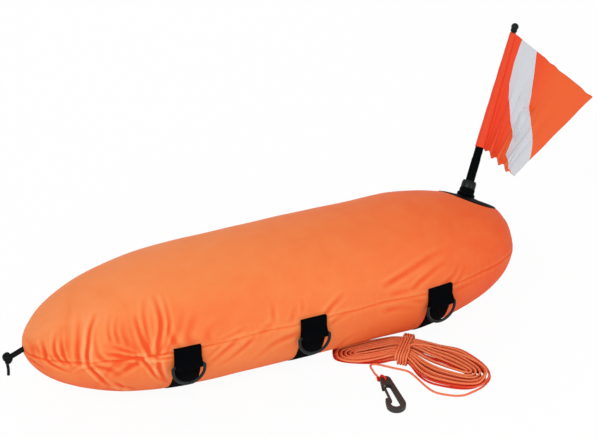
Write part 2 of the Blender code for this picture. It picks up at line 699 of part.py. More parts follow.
def build_mast(rubber, plastic):
    frame = mast_frame()
    seat = BASE_SEAT_HEIGHT - MAST_FLAT_DEPTH
    steps = 24
    turns = [2 * pi * step / steps for step in range(steps)]
    reaches = [BASE_HOLE_RADIUS, BASE_SEAT_RADIUS, *BASE_RINGS, BASE_RADIUS]
    top = []
    for reach in reaches:
        ring = []
        for turn in turns:
            skin = base_skin(reach, turn, BASE_GAP)
            rise = seat - (skin - MAST_FOOT).dot(MAST_UP)
            if reach > BASE_SEAT_RADIUS:
                fade = ((BASE_RADIUS - reach) / (BASE_RADIUS - BASE_SEAT_RADIUS)) ** BASE_FADE_POWER
                edge = base_skin(BASE_SEAT_RADIUS, turn, BASE_GAP)
                rise = seat - (edge - MAST_FOOT).dot(MAST_UP)
                rise = BASE_RIM_THICKNESS + (rise - BASE_RIM_THICKNESS) * fade
            ring.append(skin + MAST_UP * rise)
        top.append(ring)
    under = [[base_skin(reach, turn, BASE_GAP) for turn in turns] for reach in reaches]
    link("mast_base", skin_rings("mast_base", top + under[::-1], cyclic=True), rubber)

    seat += CLEARANCE
    flange = seat + BOSS_FLANGE_HEIGHT
    shoulder = seat + BOSS_HEIGHT
    neck_top = seat + SOCKET_HEIGHT
    bore = GRIP_RADIUS + CLEARANCE
    bore_floor = seat + SOCKET_FLOOR
    socket = [(0.0, seat), (BOSS_RADIUS, seat), (BOSS_RADIUS, flange), (BOSS_NECK_RADIUS, flange + BOSS_EDGE)]
    socket += [(BOSS_NECK_RADIUS, shoulder - BOSS_EDGE), (BOSS_NECK_RADIUS - BOSS_EDGE, shoulder)]
    socket += [(SOCKET_NECK_RADIUS, shoulder), (SOCKET_NECK_RADIUS, neck_top), (bore, neck_top)]
    socket += [(bore, bore_floor), (0.0, bore_floor)]
    turned("mast_socket", socket, frame, rubber)
    fit = SOCKET_NECK_RADIUS + CLEARANCE
    low = shoulder + CLEARANCE
    under_lip = neck_top + CLEARANCE
    lip_top = under_lip + COLLAR_LIP_THICKNESS
    collar = [(fit, low), (COLLAR_RADIUS - COLLAR_EDGE, low), (COLLAR_RADIUS, low + COLLAR_EDGE)]
    collar += [(COLLAR_RADIUS, lip_top - COLLAR_TAPER_LENGTH), (COLLAR_TOP_RADIUS, lip_top), (bore, lip_top)]
    collar += [(bore, under_lip), (fit, under_lip)]
    turned("socket_collar", collar, frame, plastic, hollow=True)

    rod_bore = ROD_RADIUS + CLEARANCE
    grip_foot = bore_floor + CLEARANCE
    grip = [(0.0, grip_foot), (GRIP_RADIUS, grip_foot), (GRIP_RADIUS, GRIP_STEP_HEIGHT)]
    grip += [(GRIP_UPPER_RADIUS, GRIP_STEP_HEIGHT + GRIP_STEP_SLOPE), (GRIP_UPPER_RADIUS, GRIP_TOP_HEIGHT)]
    grip += [(rod_bore, GRIP_TOP_HEIGHT), (rod_bore, GRIP_TOP_HEIGHT - GRIP_BORE_DEPTH)]
    grip += [(0.0, GRIP_TOP_HEIGHT - GRIP_BORE_DEPTH)]
    turned("mast_grip", grip, frame, rubber)
    rod_foot = GRIP_TOP_HEIGHT - GRIP_BORE_DEPTH + CLEARANCE
    neck_foot = BALL_HEIGHT - BALL_NECK_LENGTH
    rod_top = neck_foot + BALL_BORE_DEPTH
    turned("mast_rod", [(ROD_RADIUS, rod_foot), (ROD_RADIUS, rod_top)], frame, plastic, steps=16)
    ball = [(rod_bore, neck_foot), (BALL_NECK_RADIUS, neck_foot)]
    start = np.arcsin(BALL_NECK_RADIUS / BALL_RADIUS)
    for step in range(7):
        turn = start + (pi / 2 - start) * step / 6 if step < 6 else pi / 2
        ball.append((BALL_RADIUS * sin(turn), BALL_HEIGHT - BALL_RADIUS * cos(turn)))
    for step in range(1, 6):
        turn = pi / 2 * step / 6
        ball.append((BALL_RADIUS * cos(turn), BALL_HEIGHT + BALL_RADIUS * sin(turn)))
    ball.append((0.0, BALL_HEIGHT + BALL_RADIUS))
    bore_top = neck_foot + BALL_BORE_DEPTH + CLEARANCE
    ball += [(0.0, bore_top), (rod_bore, bore_top)]
    turned("mast_ball", ball, frame, plastic, steps=14)


def sleeve_inner(height):
    """The inner radius of the flag's sleeve, which narrows where the grip ends."""
    wide = GRIP_UPPER_RADIUS + CLEARANCE
    narrow = ROD_RADIUS + CLEARANCE
    share = (height - GRIP_TOP_HEIGHT) / SLEEVE_TAPER_LENGTH
    return wide + (narrow - wide) * min(1.0, max(0.0, share))


def fold_depth(chord):
    """The depth of even folds that take the flag's full fly up into a shorter width."""
    places = np.linspace(0, 1, 400)
    low = 0.0
    high = FLAG_FLY
    for _ in range(30):
        depth = (low + high) / 2
        slope = depth * 2 * pi * FLAG_FOLDS * np.cos(2 * pi * FLAG_FOLDS * places)
        length = float(np.mean(np.sqrt(chord**2 + slope**2)))
        low, high = (depth, high) if length < FLAG_FLY else (low, depth)
    return low


def flag_point(u, v):
    """The flag's middle surface in the mast's frame: u from the mast to the fly, v from bottom to top."""
    height = FLAG_BOTTOM_HEIGHT + FLAG_HOIST * v
    beside = sleeve_inner(height - FLAG_HOIST * FLAG_SLEEVE_LAG) + SLEEVE_THICKNESS
    hoist = Vector((beside + CLEARANCE + FLAG_THICKNESS, height))
    fly = Vector(FLAG_LOW_CORNER).lerp(Vector(FLAG_TOP_CORNER), v) + Vector((0.0, FLAG_BOTTOM_HEIGHT))
    place = hoist.lerp(fly, u)
    depth = fold_depth((fly - hoist).length)
    fade = min(1.0, u / FLAG_FLAT_SHARE)
    wave = depth * fade * sin(2 * pi * FLAG_FOLDS * u + FLAG_FOLD_SLANT * v * u)
    return Vector((place.x, wave, place.y))


def build_flag(cloth):
    frame = mast_frame() @ Matrix.Rotation(radians(FLAG_BEARING), 4, "Z")
    top_height = FLAG_BOTTOM_HEIGHT + FLAG_HOIST
    bends = [FLAG_BOTTOM_HEIGHT, GRIP_TOP_HEIGHT, GRIP_TOP_HEIGHT + SLEEVE_TAPER_LENGTH, top_height]
    profile = [(sleeve_inner(height), height) for height in bends]
    profile += [(sleeve_inner(height) + SLEEVE_THICKNESS, height) for height in reversed(bends)]
    turned("flag_sleeve", profile, frame, cloth, steps=16, hollow=True)
    columns = np.linspace(0, 1, FLAG_COLUMNS + 1)
    rows = np.linspace(0, 1, FLAG_ROWS + 1)
    step = 0.001
    upper = []
    lower = []
    for v in rows:
        faces = ([], [])
        for u in columns:
            point = flag_point(u, v)
            across = flag_point(min(u + step, 1), v) - flag_point(max(u - step, 0), v)
            up = flag_point(u, min(v + step, 1)) - flag_point(u, max(v - step, 0))
            normal = across.cross(up).normalized() * FLAG_THICKNESS / 2
            faces[0].append(frame @ (point + normal))
            faces[1].append(frame @ (point - normal))
        upper.append(faces[0])
        lower.append(faces[1])
    link("flag_cloth", sheet_mesh("flag_cloth", upper, lower), cloth)


# Cords
def build_drawcord(braid):
    half = DRAWCORD_SPACING / 2
    knot = Vector(DRAWCORD_KNOT)
    mouth = Vector((LEFT_TIP_X, 0.0, AXIS_HEIGHT))
    towards = (mouth - knot).normalized()
    start = knot + towards * (DRAWCORD_KNOT_RADIUS + CLEARANCE)
    points = []
    side = Vector((0.0, half, 0.0))
    shares = (0.0, 0.35, 0.7, 1.0)
    for share in shares:
        points.append(start.lerp(mouth, share) - side)
    for step in range(7):
        turn = pi * step / 6
        points.append((DRAWCORD_TURN_X + half * sin(turn), -half * cos(turn), AXIS_HEIGHT))
    for share in reversed(shares):
        points.append(start.lerp(mouth, share) + side)
    cord("drawcord", points, DRAWCORD_DIAMETER, braid)
    bm = bmesh.new()
    bmesh.ops.create_icosphere(bm, subdivisions=2, radius=DRAWCORD_KNOT_RADIUS)
    bmesh.ops.translate(bm, verts=bm.verts, vec=knot)
    link("drawcord_knot", mesh_from(bm, "drawcord_knot"), braid)
    top = knot - Vector((0, 0, DRAWCORD_KNOT_RADIUS + CLEARANCE))
    fall = Vector((-DRAWCORD_TAIL_SWAY, 0, -DRAWCORD_TAIL_LENGTH))
    tail = [top, top + fall / 2, top + fall]
    cord("drawcord_tail", tail, DRAWCORD_DIAMETER, braid)


def hank_height(layer_place):
    return LINE_DIAMETER / 2 + HANK_FLOOR_GAP + layer_place * HANK_LAYER_PITCH


def hank_setback(height, along):
    """How far the float's side holds the left lobe's upper layers out in front of its lowest."""
    reach = RADIUS + LINE_DIAMETER / 2 + HANK_FLOAT_GAP
    nearest = sqrt(max(0.0, reach**2 - (AXIS_HEIGHT - height) ** 2))
    share = min(1.0, max(0.0, (-along - HANK_LEAN_START) / HANK_LEAN_LENGTH))
    return max(0.0, nearest - HANK_UNDER_FLOAT) * share * share * (3 - 2 * share)


def waist_lift(along):
    """The hank is held up at its waist, where the tie passes under it."""
    lift = LINE_DIAMETER + TIE_CLEARANCE
    return lift * exp(-((along / WAIST_LIFT_LENGTH) ** 4))


def hank_centre(along):
    """A point and the sideways direction of the hank's own centre line, bent at its waist."""
    waist = Vector(HANK_WAIST)
    right = radians(HANK_RIGHT_BEARING)
    left = radians(HANK_LEFT_BEARING - 180)
    # The bend is a smooth step, and the place along the line is the area under it.
    reach = HANK_BEND_LENGTH / 2
    blend = 0.5 + 0.5 * np.tanh(along / HANK_BEND_LENGTH)
    ahead = reach * (np.log1p(np.exp(min(along / reach, 60))) - np.log(2))
    point = waist + Vector((cos(right), sin(right))) * ahead
    point += Vector((cos(left), sin(left))) * (along - ahead)
    bearing = left + (right - left) * blend
    return point, Vector((-sin(bearing), cos(bearing)))


def hank_waist_half(inward):
    """Half the width of a loop at the waist."""
    return HANK_WAIST_INNER_HALF + (HANK_LOOPS_PER_LAYER - inward) * HANK_PITCH


def hank_point(inward, turn, layer_place):
    """A point of the hank: inward counts loops from the outermost, turn goes once round a loop."""
    right = cos(turn) > 0
    side = HANK_RIGHT_LENGTH if right else HANK_LEFT_LENGTH
    along = (side - inward * HANK_END_STEP) * cos(turn)
    inner = HANK_RIGHT_INNER_HALF if right else HANK_LEFT_INNER_HALF
    lobe = inner + (HANK_LOOPS_PER_LAYER - inward) * (HANK_RIGHT_STEP if right else HANK_LEFT_STEP)
    waist = hank_waist_half(inward)
    share = min(1.0, abs(along) / HANK_SWELL_LENGTH)
    width = waist + (lobe - waist) * share * share * (3 - 2 * share)
    squareness = HANK_RIGHT_SQUARENESS if right else HANK_LEFT_SQUARENESS
    bulge = abs(sin(turn)) ** squareness * (1 if sin(turn) > 0 else -1)
    point, across = hank_centre(along)
    point = point + across * width * bulge
    height = hank_height(layer_place)
    return Vector((point.x, point.y - hank_setback(height, along), height + waist_lift(along)))


def hank_points():
    """One unbroken line. Each layer spirals in or out, and climbs in the half turn where that reverses."""
    per_layer = HANK_LOOPS_PER_LAYER
    start = radians(HANK_START_BEARING)
    points = []
    for index in range(HANK_LAYERS * per_layer * HANK_POINTS_PER_LOOP + 1):
        loops = index / HANK_POINTS_PER_LOOP
        phase = loops % (2 * per_layer)
        inward = min(phase, 2 * per_layer - phase)
        reversal = min(HANK_LAYERS - 1, max(1, round(loops / per_layer)))
        climb = min(0.5, max(-0.5, 2 * (loops - reversal * per_layer)))
        level = reversal - 0.5 + climb
        points.append(hank_point(inward, start + 2 * pi * loops, level))
    return points


def tie_points():
    """Turns of line round the hank's waist, as a flat helix along the hank."""
    half_width = hank_waist_half(0) + LINE_DIAMETER + TIE_SIDE_CLEARANCE
    bottom = LINE_DIAMETER / 2 + HANK_FLOOR_GAP
    top = hank_height(HANK_LAYERS - 1) + waist_lift(0.0) + LINE_DIAMETER + TIE_CLEARANCE
    middle = (bottom + top) / 2
    half_height = (top - bottom) / 2
    across = hank_centre(0.0)[1]
    points = []
    for index in range(TIE_TURNS * TIE_POINTS_PER_TURN + 1):
        turn = 2 * pi * index / TIE_POINTS_PER_TURN
        along = (index / TIE_POINTS_PER_TURN - TIE_TURNS / 2) * TIE_PITCH
        sideways = abs(cos(turn)) ** TIE_SQUARENESS * (1 if cos(turn) > 0 else -1) * half_width
        upwards = abs(sin(turn)) ** TIE_SQUARENESS * (1 if sin(turn) > 0 else -1) * half_height
        place = hank_centre(along)[0] + across * sideways
        points.append(Vector((place.x, place.y, middle + upwards)))
    return points


def least_gap(points, diameter, skip):
    """The least clear distance of a tube to itself, measured on fine points of its centre line."""
    fine = []
    for start, end in zip(points, points[1:]):
        fine += [start.lerp(end, share) for share in (0.0, 0.25, 0.5, 0.75)]
    places = np.array([tuple(point) for point in fine])
    least = 1.0
    for index in range(len(places) - skip):
        apart = np.linalg.norm(places[index + skip :] - places[index], axis=1)
        least = min(least, float(apart.min()))
    return least - diameter


def build_line(rope):
    hank = hank_points()
    tie = tie_points()
    print("hank: least gap to itself, mm:", round(1000 * least_gap(hank, LINE_DIAMETER, 12), 2))
    print("tie: least gap to itself, mm:", round(1000 * least_gap(tie, LINE_DIAMETER, 12), 2))
    cord("line_hank", hank, LINE_DIAMETER, rope, sides_level=1)
    cord("line_tie", tie, LINE_DIAMETER, rope, sides_level=1)
    leave = (hank[0] - hank[1]).normalized()
    ends = [hank[0] + leave * CLEARANCE, hank[0] + leave * (CLEARANCE + LINE_DIAMETER)]
    cord("line_tail", smooth_route([*ends, *LINE_TAIL_POINTS], 2.5 * LINE_DIAMETER), LINE_DIAMETER, rope)


# Snap hook
def hook_frame():
    """A matrix at the eye: X to the hook's bend, Y to its spine, Z up, tipped on to the line's loop."""
    bearing = radians(HOOK_BEARING)
    drop = (HOOK_EYE_HEIGHT - HOOK_BEND_HEIGHT) / (HOOK_BEND_CENTRE[0] + HOOK_BEND_RADIUS)
    along = Vector((cos(bearing), sin(bearing), -drop)).normalized()
    spine = Vector((-sin(bearing), cos(bearing), 0.0))
    matrix = Matrix((along, spine, along.cross(spine))).transposed().to_4x4()
    matrix.translation = Vector((*HOOK_EYE, HOOK_EYE_HEIGHT))
    return matrix


def tangent_turn(small, large, distance, offset):
    """The direction of the outer tangent of two circles whose centres lie apart along X and Y."""
    return atan2(offset, distance) + np.arcsin((large - small) / sqrt(distance**2 + offset**2))


def arc(centre, radius, start, end, steps):
    """Points along an arc, its ends in degrees."""
    turns = np.radians(np.linspace(start, end, steps + 1))
    return [Vector((centre[0] + radius * cos(turn), centre[1] + radius * sin(turn))) for turn in turns]


def hook_outline():
    """The body's outline as one C, from its hinge end round the eye, the spine and the bend to the nose."""
    eye = (0.0, 0.0)
    bend = HOOK_BEND_CENTRE
    spine_side = degrees(tangent_turn(HOOK_EYE_RADIUS, HOOK_BEND_RADIUS, bend[0], bend[1]))
    gate_side = degrees(tangent_turn(HOOK_EYE_RADIUS, HOOK_BEND_RADIUS, bend[0], -bend[1]))
    gate_slope = tan(radians(gate_side))
    gate_edge = HOOK_EYE_RADIUS / cos(radians(gate_side))

    def outer_at(along):
        return -(gate_edge + gate_slope * along)

    def spine_at(along):
        return HOOK_EYE_RADIUS + tan(radians(spine_side)) * along - HOOK_SPINE_WALL

    points = [Vector((HOOK_HINGE_END, outer_at(HOOK_HINGE_END)))]
    points += arc(eye, HOOK_EYE_RADIUS, -90 - gate_side, -270 + spine_side, 12)
    points += arc(bend, HOOK_BEND_RADIUS, 90 + spine_side, -90 - gate_side, 16)
    nose_half = HOOK_NOSE_WALL / 2
    nose = (HOOK_NOSE_END + nose_half, outer_at(HOOK_NOSE_END) + nose_half)
    points += arc(nose, nose_half, 270 - gate_side, 90, 5)
    inner = HOOK_BEND_RADIUS - HOOK_BEND_WALL
    points += arc((bend[0], bend[1] - HOOK_BEND_SHIFT), inner, -120, 80, 12)
    corner = HOOK_WINDOW_TOP + HOOK_CORNER
    points.append(Vector((corner, spine_at(corner))))
    points.append(Vector((HOOK_WINDOW_TOP, spine_at(HOOK_WINDOW_TOP) - HOOK_CORNER)))
    block = GATE_PIN[1] + GATE_KNUCKLE_RADIUS + HOOK_BLOCK_MARGIN
    points.append(Vector((HOOK_WINDOW_TOP, block)))
    points.append(Vector((HOOK_HINGE_END, block)))
    return points


def extruded(name, outline, low, high, place):
    """A flat outline as a solid plate between two heights."""
    rings = [[place @ Vector((point[0], point[1], height)) for point in outline] for height in (low, high)]
    return skin_rings(name, rings, caps=True)


def cutter(name, mesh):
    """A guide that cuts another piece and isn't a piece itself."""
    obj = bpy.data.objects.new(name, mesh)
    bpy.context.scene.collection.objects.link(obj)
    obj.hide_render = True
    obj.display_type = "WIRE"
    return obj


def cut(target, tool):
    modifier = target.modifiers.new(tool.name, "BOOLEAN")
    modifier.object = tool
    modifier.operation = "DIFFERENCE"
    modifier.solver = "EXACT"


def disc(centre, radius, steps):
    """Points round a circle."""
    return arc(centre, radius, 0, 360, steps)[:-1]


def build_hook(plastic, steel):
    frame = hook_frame()
    level = Matrix.Identity(4)
    half = HOOK_THICKNESS / 2
    body = link("hook_body", extruded("hook_body", hook_outline(), -half, half, level), plastic)
    body.matrix_world = frame
    rounding = body.modifiers.new("edge_round", "BEVEL")
    rounding.width = HOOK_EDGE_ROUND
    rounding.segments = 2
    rounding.limit_method = "ANGLE"
    rounding.angle_limit = radians(60)
    hole = GATE_PIN_RADIUS + CLEARANCE
    slot_half = GATE_WIDTH / 2 + CLEARANCE
    pin_x, pin_y = GATE_PIN
    room = GATE_KNUCKLE_RADIUS + CLEARANCE
    slot_end = HOOK_HINGE_END + GATE_SLOT_RUN
    slot_edge = pin_y + room + GATE_SLOT_MARGIN
    outside = -2 * HOOK_EYE_RADIUS
    corners = ((pin_x - room, outside), (slot_end, outside), (slot_end, slot_edge), (pin_x - room, slot_edge))
    slot = [Vector(corner) for corner in corners]
    guides = (
        ("eye_hole", disc((0.0, 0.0), HOOK_EYE_HOLE_RADIUS, 16), half * 2),
        ("pin_hole", disc(GATE_PIN, hole, 12), half * 2),
        ("gate_slot", slot, slot_half),
    )
    for name, outline, reach in guides:
        tool = cutter(f"guide_{name}", extruded(name, outline, -reach, reach, level))
        tool.matrix_world = frame
        cut(body, tool)
    tip = Vector(GATE_TIP)
    pin = Vector(GATE_PIN)
    along = (tip - pin).normalized()
    side = Vector((-along.y, along.x)) * GATE_THICKNESS / 2
    sweep = degrees(atan2(along.y, along.x))
    edge = degrees(np.arcsin(GATE_THICKNESS / 2 / GATE_KNUCKLE_RADIUS))
    outline = arc(pin, GATE_KNUCKLE_RADIUS, sweep + edge, sweep + 360 - edge, 12)
    outline += [tip - side, tip + along * GATE_POINT, tip + side]
    gate_frame = frame @ Matrix.Translation((pin_x, pin_y, 0.0))
    local = [point - pin for point in outline]
    gate_half = GATE_WIDTH / 2
    gate = link("hook_gate", extruded("hook_gate", local, -gate_half, gate_half, level), plastic)
    gate.matrix_world = gate_frame
    tool = cutter("guide_gate_bore", extruded("gate_bore", disc((0, 0), hole, 12), -half, half, level))
    tool.matrix_world = gate_frame
    cut(gate, tool)
    reach = half - GATE_PIN_RECESS
    profile = [(GATE_PIN_RADIUS, -reach), (GATE_PIN_RADIUS, reach)]
    turned("hook_gate_pin", profile, gate_frame, steel, steps=12)


def build_line_knot(rope):
    """The line's loop through the hook's eye, with its knot."""
    frame = hook_frame()
    bearing = radians(LINE_LOOP_BEARING - HOOK_BEARING)
    radial = frame.to_3x3() @ Vector((cos(bearing), sin(bearing), 0.0))
    upward = frame.to_3x3() @ Vector((0, 0, 1))
    outer = HOOK_EYE_RADIUS + LINE_DIAMETER / 2 + 2 * CLEARANCE
    half_reach = outer / 2
    half_height = HOOK_THICKNESS / 2 + LINE_DIAMETER / 2 + 2 * CLEARANCE
    centre = frame.translation + radial * half_reach
    rings = []
    side = radial.cross(upward)
    section = [2 * pi * k / LINE_LOOP_SIDES for k in range(LINE_LOOP_SIDES)]
    for step in range(LINE_LOOP_STEPS):
        turn = 2 * pi * step / LINE_LOOP_STEPS
        reach = abs(cos(turn)) ** LINE_LOOP_SQUARENESS * (1 if cos(turn) > 0 else -1)
        rise = abs(sin(turn)) ** LINE_LOOP_SQUARENESS * (1 if sin(turn) > 0 else -1)
        place = centre + radial * half_reach * reach + upward * half_height * rise
        out = (radial * half_height * cos(turn) + upward * half_reach * sin(turn)).normalized()
        rings.append([place + (out * cos(k) + side * sin(k)) * LINE_DIAMETER / 2 for k in section])
    loop = link("line_knot", skin_rings("line_knot", rings, cyclic=True), rope)
    bm = bmesh.new()
    bmesh.ops.create_icosphere(bm, subdivisions=2, radius=LINE_KNOT_RADIUS)
    knot_reach = HOOK_EYE_RADIUS + LINE_KNOT_RADIUS + 2 * CLEARANCE
    knot = frame.translation + radial * knot_reach - upward * LINE_KNOT_DROP
    bmesh.ops.translate(bm, verts=bm.verts, vec=knot)
    ball = cutter("guide_knot", mesh_from(bm, "guide_knot"))
    joined = loop.modifiers.new("knot", "BOOLEAN")
    joined.object = ball
    joined.operation = "UNION"
    joined.solver = "EXACT"


def main():
    for obj in list(bpy.data.objects):
        bpy.data.objects.remove(obj, do_unlink=True)
    fabric = new_material("orange_nylon", (0.88, 0.19, 0.05), 0.6)
    tape = new_material("orange_tape", (0.80, 0.17, 0.05), 0.7)
    film = new_material("grey_pvc", (0.35, 0.36, 0.38), 0.4)
    webbing = new_material("black_webbing", (0.012, 0.013, 0.016), 0.8)
    ring_plastic = new_material("black_acetal", (0.03, 0.032, 0.035), 0.35)
    rubber = new_material("black_rubber", (0.012, 0.014, 0.014), 0.5)
    lead = new_material("lead", (0.25, 0.26, 0.28), 0.6, 0.8)
    cloth = new_material("red_flag_cloth", (0.80, 0.07, 0.025), 0.7)
    braid = new_material("black_braid", (0.012, 0.012, 0.014), 0.85)
    rope = new_material("orange_line", (0.86, 0.26, 0.11), 0.75)
    hook_plastic = new_material("grey_acetal", (0.11, 0.105, 0.10), 0.45)
    steel = new_material("steel", (0.5, 0.5, 0.5), 0.3, 1.0)
    build_cover(fabric, tape)
    build_bladder(film, ring_plastic, lead)
    build_straps(webbing, ring_plastic)
    build_mast(rubber, ring_plastic)
    build_flag(cloth)
    build_drawcord(braid)
    build_line(rope)
    build_hook(hook_plastic, steel)
    build_line_knot(rope)


if __name__ == "__main__":
    main()
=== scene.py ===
"""Dress for the dive float buoy: its cover, webbing, mast, flag, drawcord and float line over its frame.

Places are in metres in the part's own frame. Angles round the float are in degrees from straight up, positive
towards -Y, and a girth is a distance round the float from the front seam, positive up the top panel.
"""
from math import atan2, copysign, cos, degrees, pi, radians, sin, sqrt

import bmesh
import bpy
import numpy as np
from bpy.props import FloatProperty, FloatVectorProperty, IntProperty, PointerProperty
from mathutils import Matrix, Vector


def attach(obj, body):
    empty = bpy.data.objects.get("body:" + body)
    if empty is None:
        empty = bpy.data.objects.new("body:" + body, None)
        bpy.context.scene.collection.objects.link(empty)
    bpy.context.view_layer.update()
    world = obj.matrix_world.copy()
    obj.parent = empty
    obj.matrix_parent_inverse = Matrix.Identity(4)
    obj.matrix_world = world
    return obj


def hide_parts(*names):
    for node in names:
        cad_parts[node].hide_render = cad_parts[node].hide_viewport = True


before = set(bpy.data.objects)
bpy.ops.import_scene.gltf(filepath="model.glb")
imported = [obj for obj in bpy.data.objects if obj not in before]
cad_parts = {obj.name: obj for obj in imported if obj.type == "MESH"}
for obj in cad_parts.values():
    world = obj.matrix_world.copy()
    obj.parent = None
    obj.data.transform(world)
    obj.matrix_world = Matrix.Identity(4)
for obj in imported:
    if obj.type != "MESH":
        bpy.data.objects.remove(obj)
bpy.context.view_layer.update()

bl_info = {
    "name": "Dive float dress",
    "version": (1, 0, 0),
    "blender": (4, 5, 0),
    "location": "3D View > Sidebar > Dive Float",
    "description": "Builds the cloth, cords and fittings of a dive float over its frame",
    "category": "Object",
}

# Float, as in the part's source
RADIUS = 0.1175
LEFT_TIP_X = -0.450
RIGHT_TIP_X = 0.410
LEFT_END_LENGTH = 0.340
LEFT_END_POWERS = (2.7, 1.8)
RIGHT_END_LENGTH = 0.205
RIGHT_END_POWERS = (1.35, 2.85)
AXIS_HEIGHT = 0.1155
MOUTH_RADIUS = 0.0052
RIGHT_TIP_RADIUS = 0.0015
FRONT_SEAM = 86.0
BACK_SEAM = 220.0
FLOOR_GAP = 0.0021
LEFT_SHOULDER_X = LEFT_TIP_X + LEFT_END_LENGTH
RIGHT_SHOULDER_X = RIGHT_TIP_X - RIGHT_END_LENGTH

# Straps and rings
STRAP_STATIONS = {"left": -0.215, "middle": 0.0, "right": 0.228}
STRAP_HALF = 0.022
STRAP_LOW = 82.4
STRAP_HIGH = 223.6
STRAP_MIDDLE = 0.0012
STRAP_OUTER = 0.0021
STRAP_THICKNESS = 0.0017
KEEPER_LENGTH = 0.0316
KEEPER_BACK = 0.0011
KEEPER_FRONT = 0.0030
KEEPER_THICKNESS = 0.0015
BAR_HEIGHT = 0.0059
RING_WIRE_RADIUS = 0.0025
RING_INNER_WIDTH = 0.0476
RING_CORNER = 0.004
RING_DEPTH = 0.0335
RING_FLOOR_REST = 0.0029

# Mast: heights are over the cover at its foot
MAST_BASE_X = 0.350
MAST_ANGLE = -27.0
MAST_TILT = 28.5
MAST_FLAT_DEPTH = 0.006
BASE_RADIUS = 0.050
BASE_SEAT_RADIUS = 0.0165
BASE_SEAT_HEIGHT = 0.005 - MAST_FLAT_DEPTH
SOCKET_BORE = 0.0079
SOCKET_NECK = 0.0108
SOCKET_SHOULDER = 0.0132
SOCKET_FLANGE = 0.0155
COLLAR_RADIUS = 0.0126
COLLAR_LIP_RADIUS = 0.0112
GRIP_RADIUS = 0.0076
GRIP_SHOULDER = 0.066
GRIP_NECK = 0.0071
GRIP_BORE = 0.0048
GRIP_TOP = 0.100
ROD_RADIUS = 0.0045
ROD_FOOT = 0.0503
BALL_NECK = 0.2945
MAST_GAP = 0.0003
ROD_TOP = 0.3005
BALL_RADIUS = 0.0065
BALL_HEIGHT = 0.303

# Flag: its corners are in the mast's frame, out from the mast and up
FLAG_BEARING = -20.5
FLAG_HOIST = 0.205
FLAG_FLY = 0.172
FLAG_BOTTOM = 0.086
FLAG_TOP_CORNER = (0.161, 0.224)
FLAG_LOW_CORNER = (0.070, 0.055)
FLAG_FOLDS = 3.5
FOLDED_SHARE = 0.84
FLAG_THICKNESS = 0.0007
SLEEVE_RADII = (0.0074, 0.0048)
SLEEVE_TAPER = 0.185
# Edges of the white stripe as (level, share of the chord), and the crease across it as (share, level)
STRIPE_LEFT = (
    *((0.0, 0.93), (0.022, 0.78), (0.10, 0.54), (0.26, 0.485), (0.36, 0.32)),
    *((0.50, 0.16), (0.61, 0.10), (0.78, 0.075), (1.0, 0.08)),
)
STRIPE_RIGHT = (
    *((0.0, 1.2), (0.226, 0.97), (0.36, 0.80), (0.445, 0.65)),
    *((0.57, 0.475), (0.745, 0.385), (1.0, 0.27)),
)
STRIPE_CREASE = ((0.52, 0.57), (0.42, 0.48), (0.45, 0.38), (0.52, 0.28))

# Drawcord
DRAWCORD_STEP = 0.0012
DRAWCORD_KNOT = (-0.4766, 0.0, 0.1045)
DRAWCORD_BEND_X = -0.4440
DRAWCORD_HALF_GAP = 0.0026

# Float line: pairs are for the hank's left and right lobes
LINE_DIAMETER = 0.0036
LINE_STEP = 0.0022
FLOOR_LINE = 0.0021
LOOPS_PER_LAYER = 5
LAYERS = 4
LAYER_PITCH = 0.0042
LAYER_SHIFTS = (0.0, 0.5, 0.25, 0.75)
LOOP_SHORTENING = 0.0072
WAIST = (0.172, -0.1095)
WAIST_INNER_HALF = 0.0024
WAIST_STEP = 0.0048
WAIST_LIFT = 0.0056
WAIST_LIFT_LENGTH = 0.034
LOBE_LENGTHS = (0.126, 0.154)
LOBE_BEARINGS = (-20.0, -58.0)
LOBE_INNER_HALVES = (0.0030, 0.0034)
LOBE_STEPS = (0.0056, 0.0117)
LOBE_SQUARENESS = (0.55, 0.72)
LOBE_SWELL_LENGTH = 0.085
HANK_BEND_LENGTH = 0.030
HANK_START = -12.0
SETBACK_CLEAR = 0.050
SETBACK_START = 0.030
SETBACK_LENGTH = 0.075
TIE_TURNS = 4.25
TIE_WIDTH = 4.2 * WAIST_STEP
TIE_SQUARENESS = 0.42
TIE_SIDE_ROOM = 0.0044
TIE_TOP_ROOM = 0.0020
TIE_BOTTOM = 0.0020
CROSSING_TURNS = 0.26
CROSSING_LOOPS = 2.8
# The free strand on the floor from the hank to the knot at the hook, as (x, y), then with its height, in mm
TAIL_ON_FLOOR = (
    *((217.0, -247.5), (208.0, -247.0), (199.0, -244.0), (188.0, -237.0), (176.0, -227.0), (169.0, -216.0)),
    *((165.0, -200.0), (162.5, -183.0), (160.0, -166.0), (156.0, -153.0), (148.0, -144.0), (137.5, -134.5)),
    *((128.5, -125.5), (119.0, -116.5), (111.0, -112.0), (105.0, -115.0), (103.5, -127.0)),
)
TAIL_TO_HOOK = ((102.5, -139.0, 2.8), (101.8, -147.4, 5.0), (101.5, -153.3, 6.2))

# Snap hook, whose nodes come with the frame
HOOK_EYE = (0.1065, -0.1715, 0.0090)
HOOK_BEARING = -100.7
HOOK_EYE_WALL = 0.009
HOOK_HALF_HEIGHT = 0.0045
HOOK_BEND_REACH = 0.078
HOOK_BEND_HEIGHT = 0.0048
HOOK_KNOT_BEARING = 110.8

# Camera, as fitted to the photo: its turn, tilt, place and lens
CAMERA_AZIMUTH = 22.916
CAMERA_ELEVATION = 32.0
CAMERA_TARGET = (-0.020, 0.0, 0.1155)
CAMERA_DISTANCE = 3.4338
CAMERA_SHIFT = (0.0406, 0.11756)
CAMERA_LENS = 125.13

# Distance from one band of a wave texture of scale 1 to the next, along an axis and along a diagonal's axes
BAND = 0.314
DIAGONAL_BAND = 0.628


